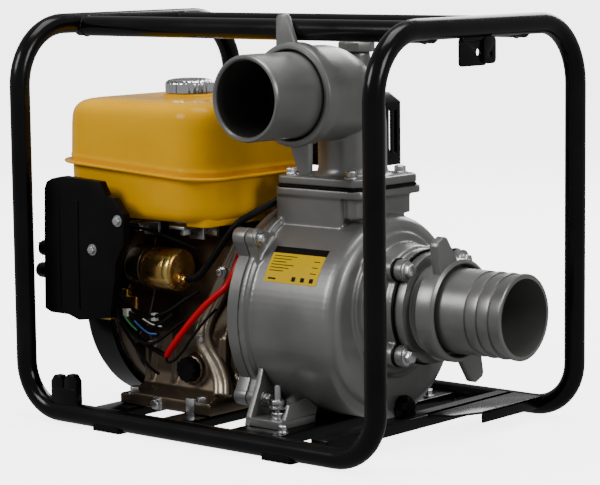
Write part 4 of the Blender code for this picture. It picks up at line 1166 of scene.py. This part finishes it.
WIRES = [
    ("wire_loop", RUBBER, 1.8, [
        (-141, -121, 86), (-134, -128, 80), (-120, -130, 84), (-104, -130, 98), (-90, -126, 118),
        (-76, -118, 138), (-66, -108, 152)]),
    ("wire_harness_a", RUBBER, 3.2, [
        (-206, -150, 150), (-196, -142, 132), (-180, -136, 112), (-164, -130, 98), (-150, -124, 90),
        (-141, -121, 86)]),
    ("wire_harness_b", RUBBER, 2.6, [
        (-206, -146, 170), (-190, -140, 150), (-172, -136, 140), (-150, -134, 138), (-130, -128, 146),
        (-112, -118, 160), (-96, -106, 172)]),
    ("wire_harness_c", RUBBER, 2.0, [
        (-200, -150, 240), (-184, -146, 250), (-160, -140, 250), (-136, -134, 244), (-112, -126, 236),
        (-92, -112, 226)]),
    ("wire_harness_d", RUBBER, 2.8, [
        (-206, -148, 158), (-190, -144, 146), (-174, -140, 128), (-158, -136, 122), (-140, -132, 130),
        (-124, -126, 142)]),
    ("wire_harness_e", RUBBER, 2.2, [
        (-204, -150, 142), (-188, -146, 122), (-168, -142, 106), (-150, -138, 104), (-134, -132, 114),
        (-120, -122, 128), (-104, -108, 140)]),
    ("wire_harness_f", RUBBER, 2.0, [
        (-198, -148, 128), (-184, -142, 106), (-172, -136, 86), (-162, -130, 70), (-152, -124, 62)]),
    ("wire_blue", WIRE_BLUE, 1.1, [
        (-176, -143, 131), (-168, -141, 124), (-156, -139, 117), (-144, -136, 116)]),
    ("wire_green", WIRE_GREEN, 1.1, [
        (-190, -148, 138), (-182, -146, 128), (-172, -143, 119)]),
    ("wire_white", WHITE_PLASTIC, 1.0, [
        (-166, -138, 134), (-152, -136, 128), (-138, -133, 126)]),
]


def thin_wires():
    """The starter's loom, as visual trim; some of its ends are free."""
    for name, coat, radius, points in WIRES:
        piece(name, sweep(smooth_path(points, 60), radius, 12), coat)


def wire_mounts():
    """White clips on the loom, and the gold relay with its brackets."""
    clips = [softened(box((-192, -148, 136), (-184, -138, 146)), 1.0),
             softened(box((-154, -136, 132), (-147, -128, 142)), 1.0)]
    piece("wire_clips", merged(*clips), WHITE_PLASTIC)
    relay = merged(softened(box((-226, -158, 131), (-204, -139.5, 139.5)), 1.4),
                   softened(box((-203, -137, 139), (-178, -131, 161)), 2.4, 3),
                   softened(box((-203, -139, 159), (-192, -129, 170)), 2.0, 3))
    piece("relay_bracket", relay, ZINC_GOLD)


# Studio


WHITE = (1.0, 1.0, 1.0, 1.0)


def studio():
    """A pale floor that only the camera sees, soft light from above and four area lamps."""
    floor = bmesh.new()
    bmesh.ops.create_grid(floor, x_segments=8, y_segments=8, size=40.0)
    ground = holder(floor, "floor")
    ground.visible_diffuse = ground.visible_glossy = False
    mat, _ = finish("studio_floor", None, grey(0.86), grey(0.90), (0.75, 0.9), grain=60.0, bump=0.02)
    set_inputs(mat.node_tree.nodes["Principled BSDF"], Emission_Color=WHITE, Emission_Strength=4.0)
    ground.data.materials.append(mat)

    world = bpy.data.worlds.new("studio")
    world.use_nodes = True
    set_inputs(world.node_tree.nodes["Background"], Color=WHITE, Strength=0.34)
    bpy.context.scene.world = world

    lamps = (
        ("key", (-1.2, -2.6, 2.0), 1.2, 62.0),
        ("side", (2.8, -0.2, 1.6), 1.0, 42.0),
        ("top", (0.2, 0.1, 2.8), 1.6, 55.0),
        ("back", (-0.8, 2.6, 1.8), 1.4, 50.0),
    )
    for name, place, size, power in lamps:
        lamp = bpy.data.lights.new(name, "AREA")
        lamp.size = size
        lamp.energy = power
        item = linked(name, lamp)
        item.location = place
        item.rotation_euler = (Vector((0, 0, 0.25)) - Vector(place)).to_track_quat("-Z", "Y").to_euler()


def camera():
    heading, pitch, roll = math.radians(40.37), math.radians(7.24), math.radians(-0.65)
    right = Vector((math.cos(heading), math.sin(heading), 0))
    level = math.cos(pitch)
    ahead = Vector((-math.sin(heading) * level, math.cos(heading) * level, -math.sin(pitch)))
    above = right.cross(ahead)
    across = right * math.cos(roll) + above * math.sin(roll)
    upward = above * math.cos(roll) - right * math.sin(roll)
    data = bpy.data.cameras.new("photo")
    data.lens = 140.34
    data.sensor_width = 36.0
    data.clip_end = 200.0
    item = linked("photo", data)
    turn = Matrix((across, upward, -ahead)).transposed().to_4x4()
    item.matrix_world = Matrix.Translation((1.8916, -2.2477, 0.6029)) @ turn
    bpy.context.scene.camera = item


finish_cad_nodes()
camera()
studio()
tubes()
lugs()
cross_members()
feet()
hanging_bracket()
casing()
back_plate()
casing_legs()
suction()
nuts()
elbow()
priming()
outlet_tail()
drain()
data_label()
engine_case()
side_cover()
head()
shroud()
start_box()
tank()
silencer()
air_box()
starter()
oil_plug()
engine_trim()
heavy_leads()
thin_wires()
wire_mounts()
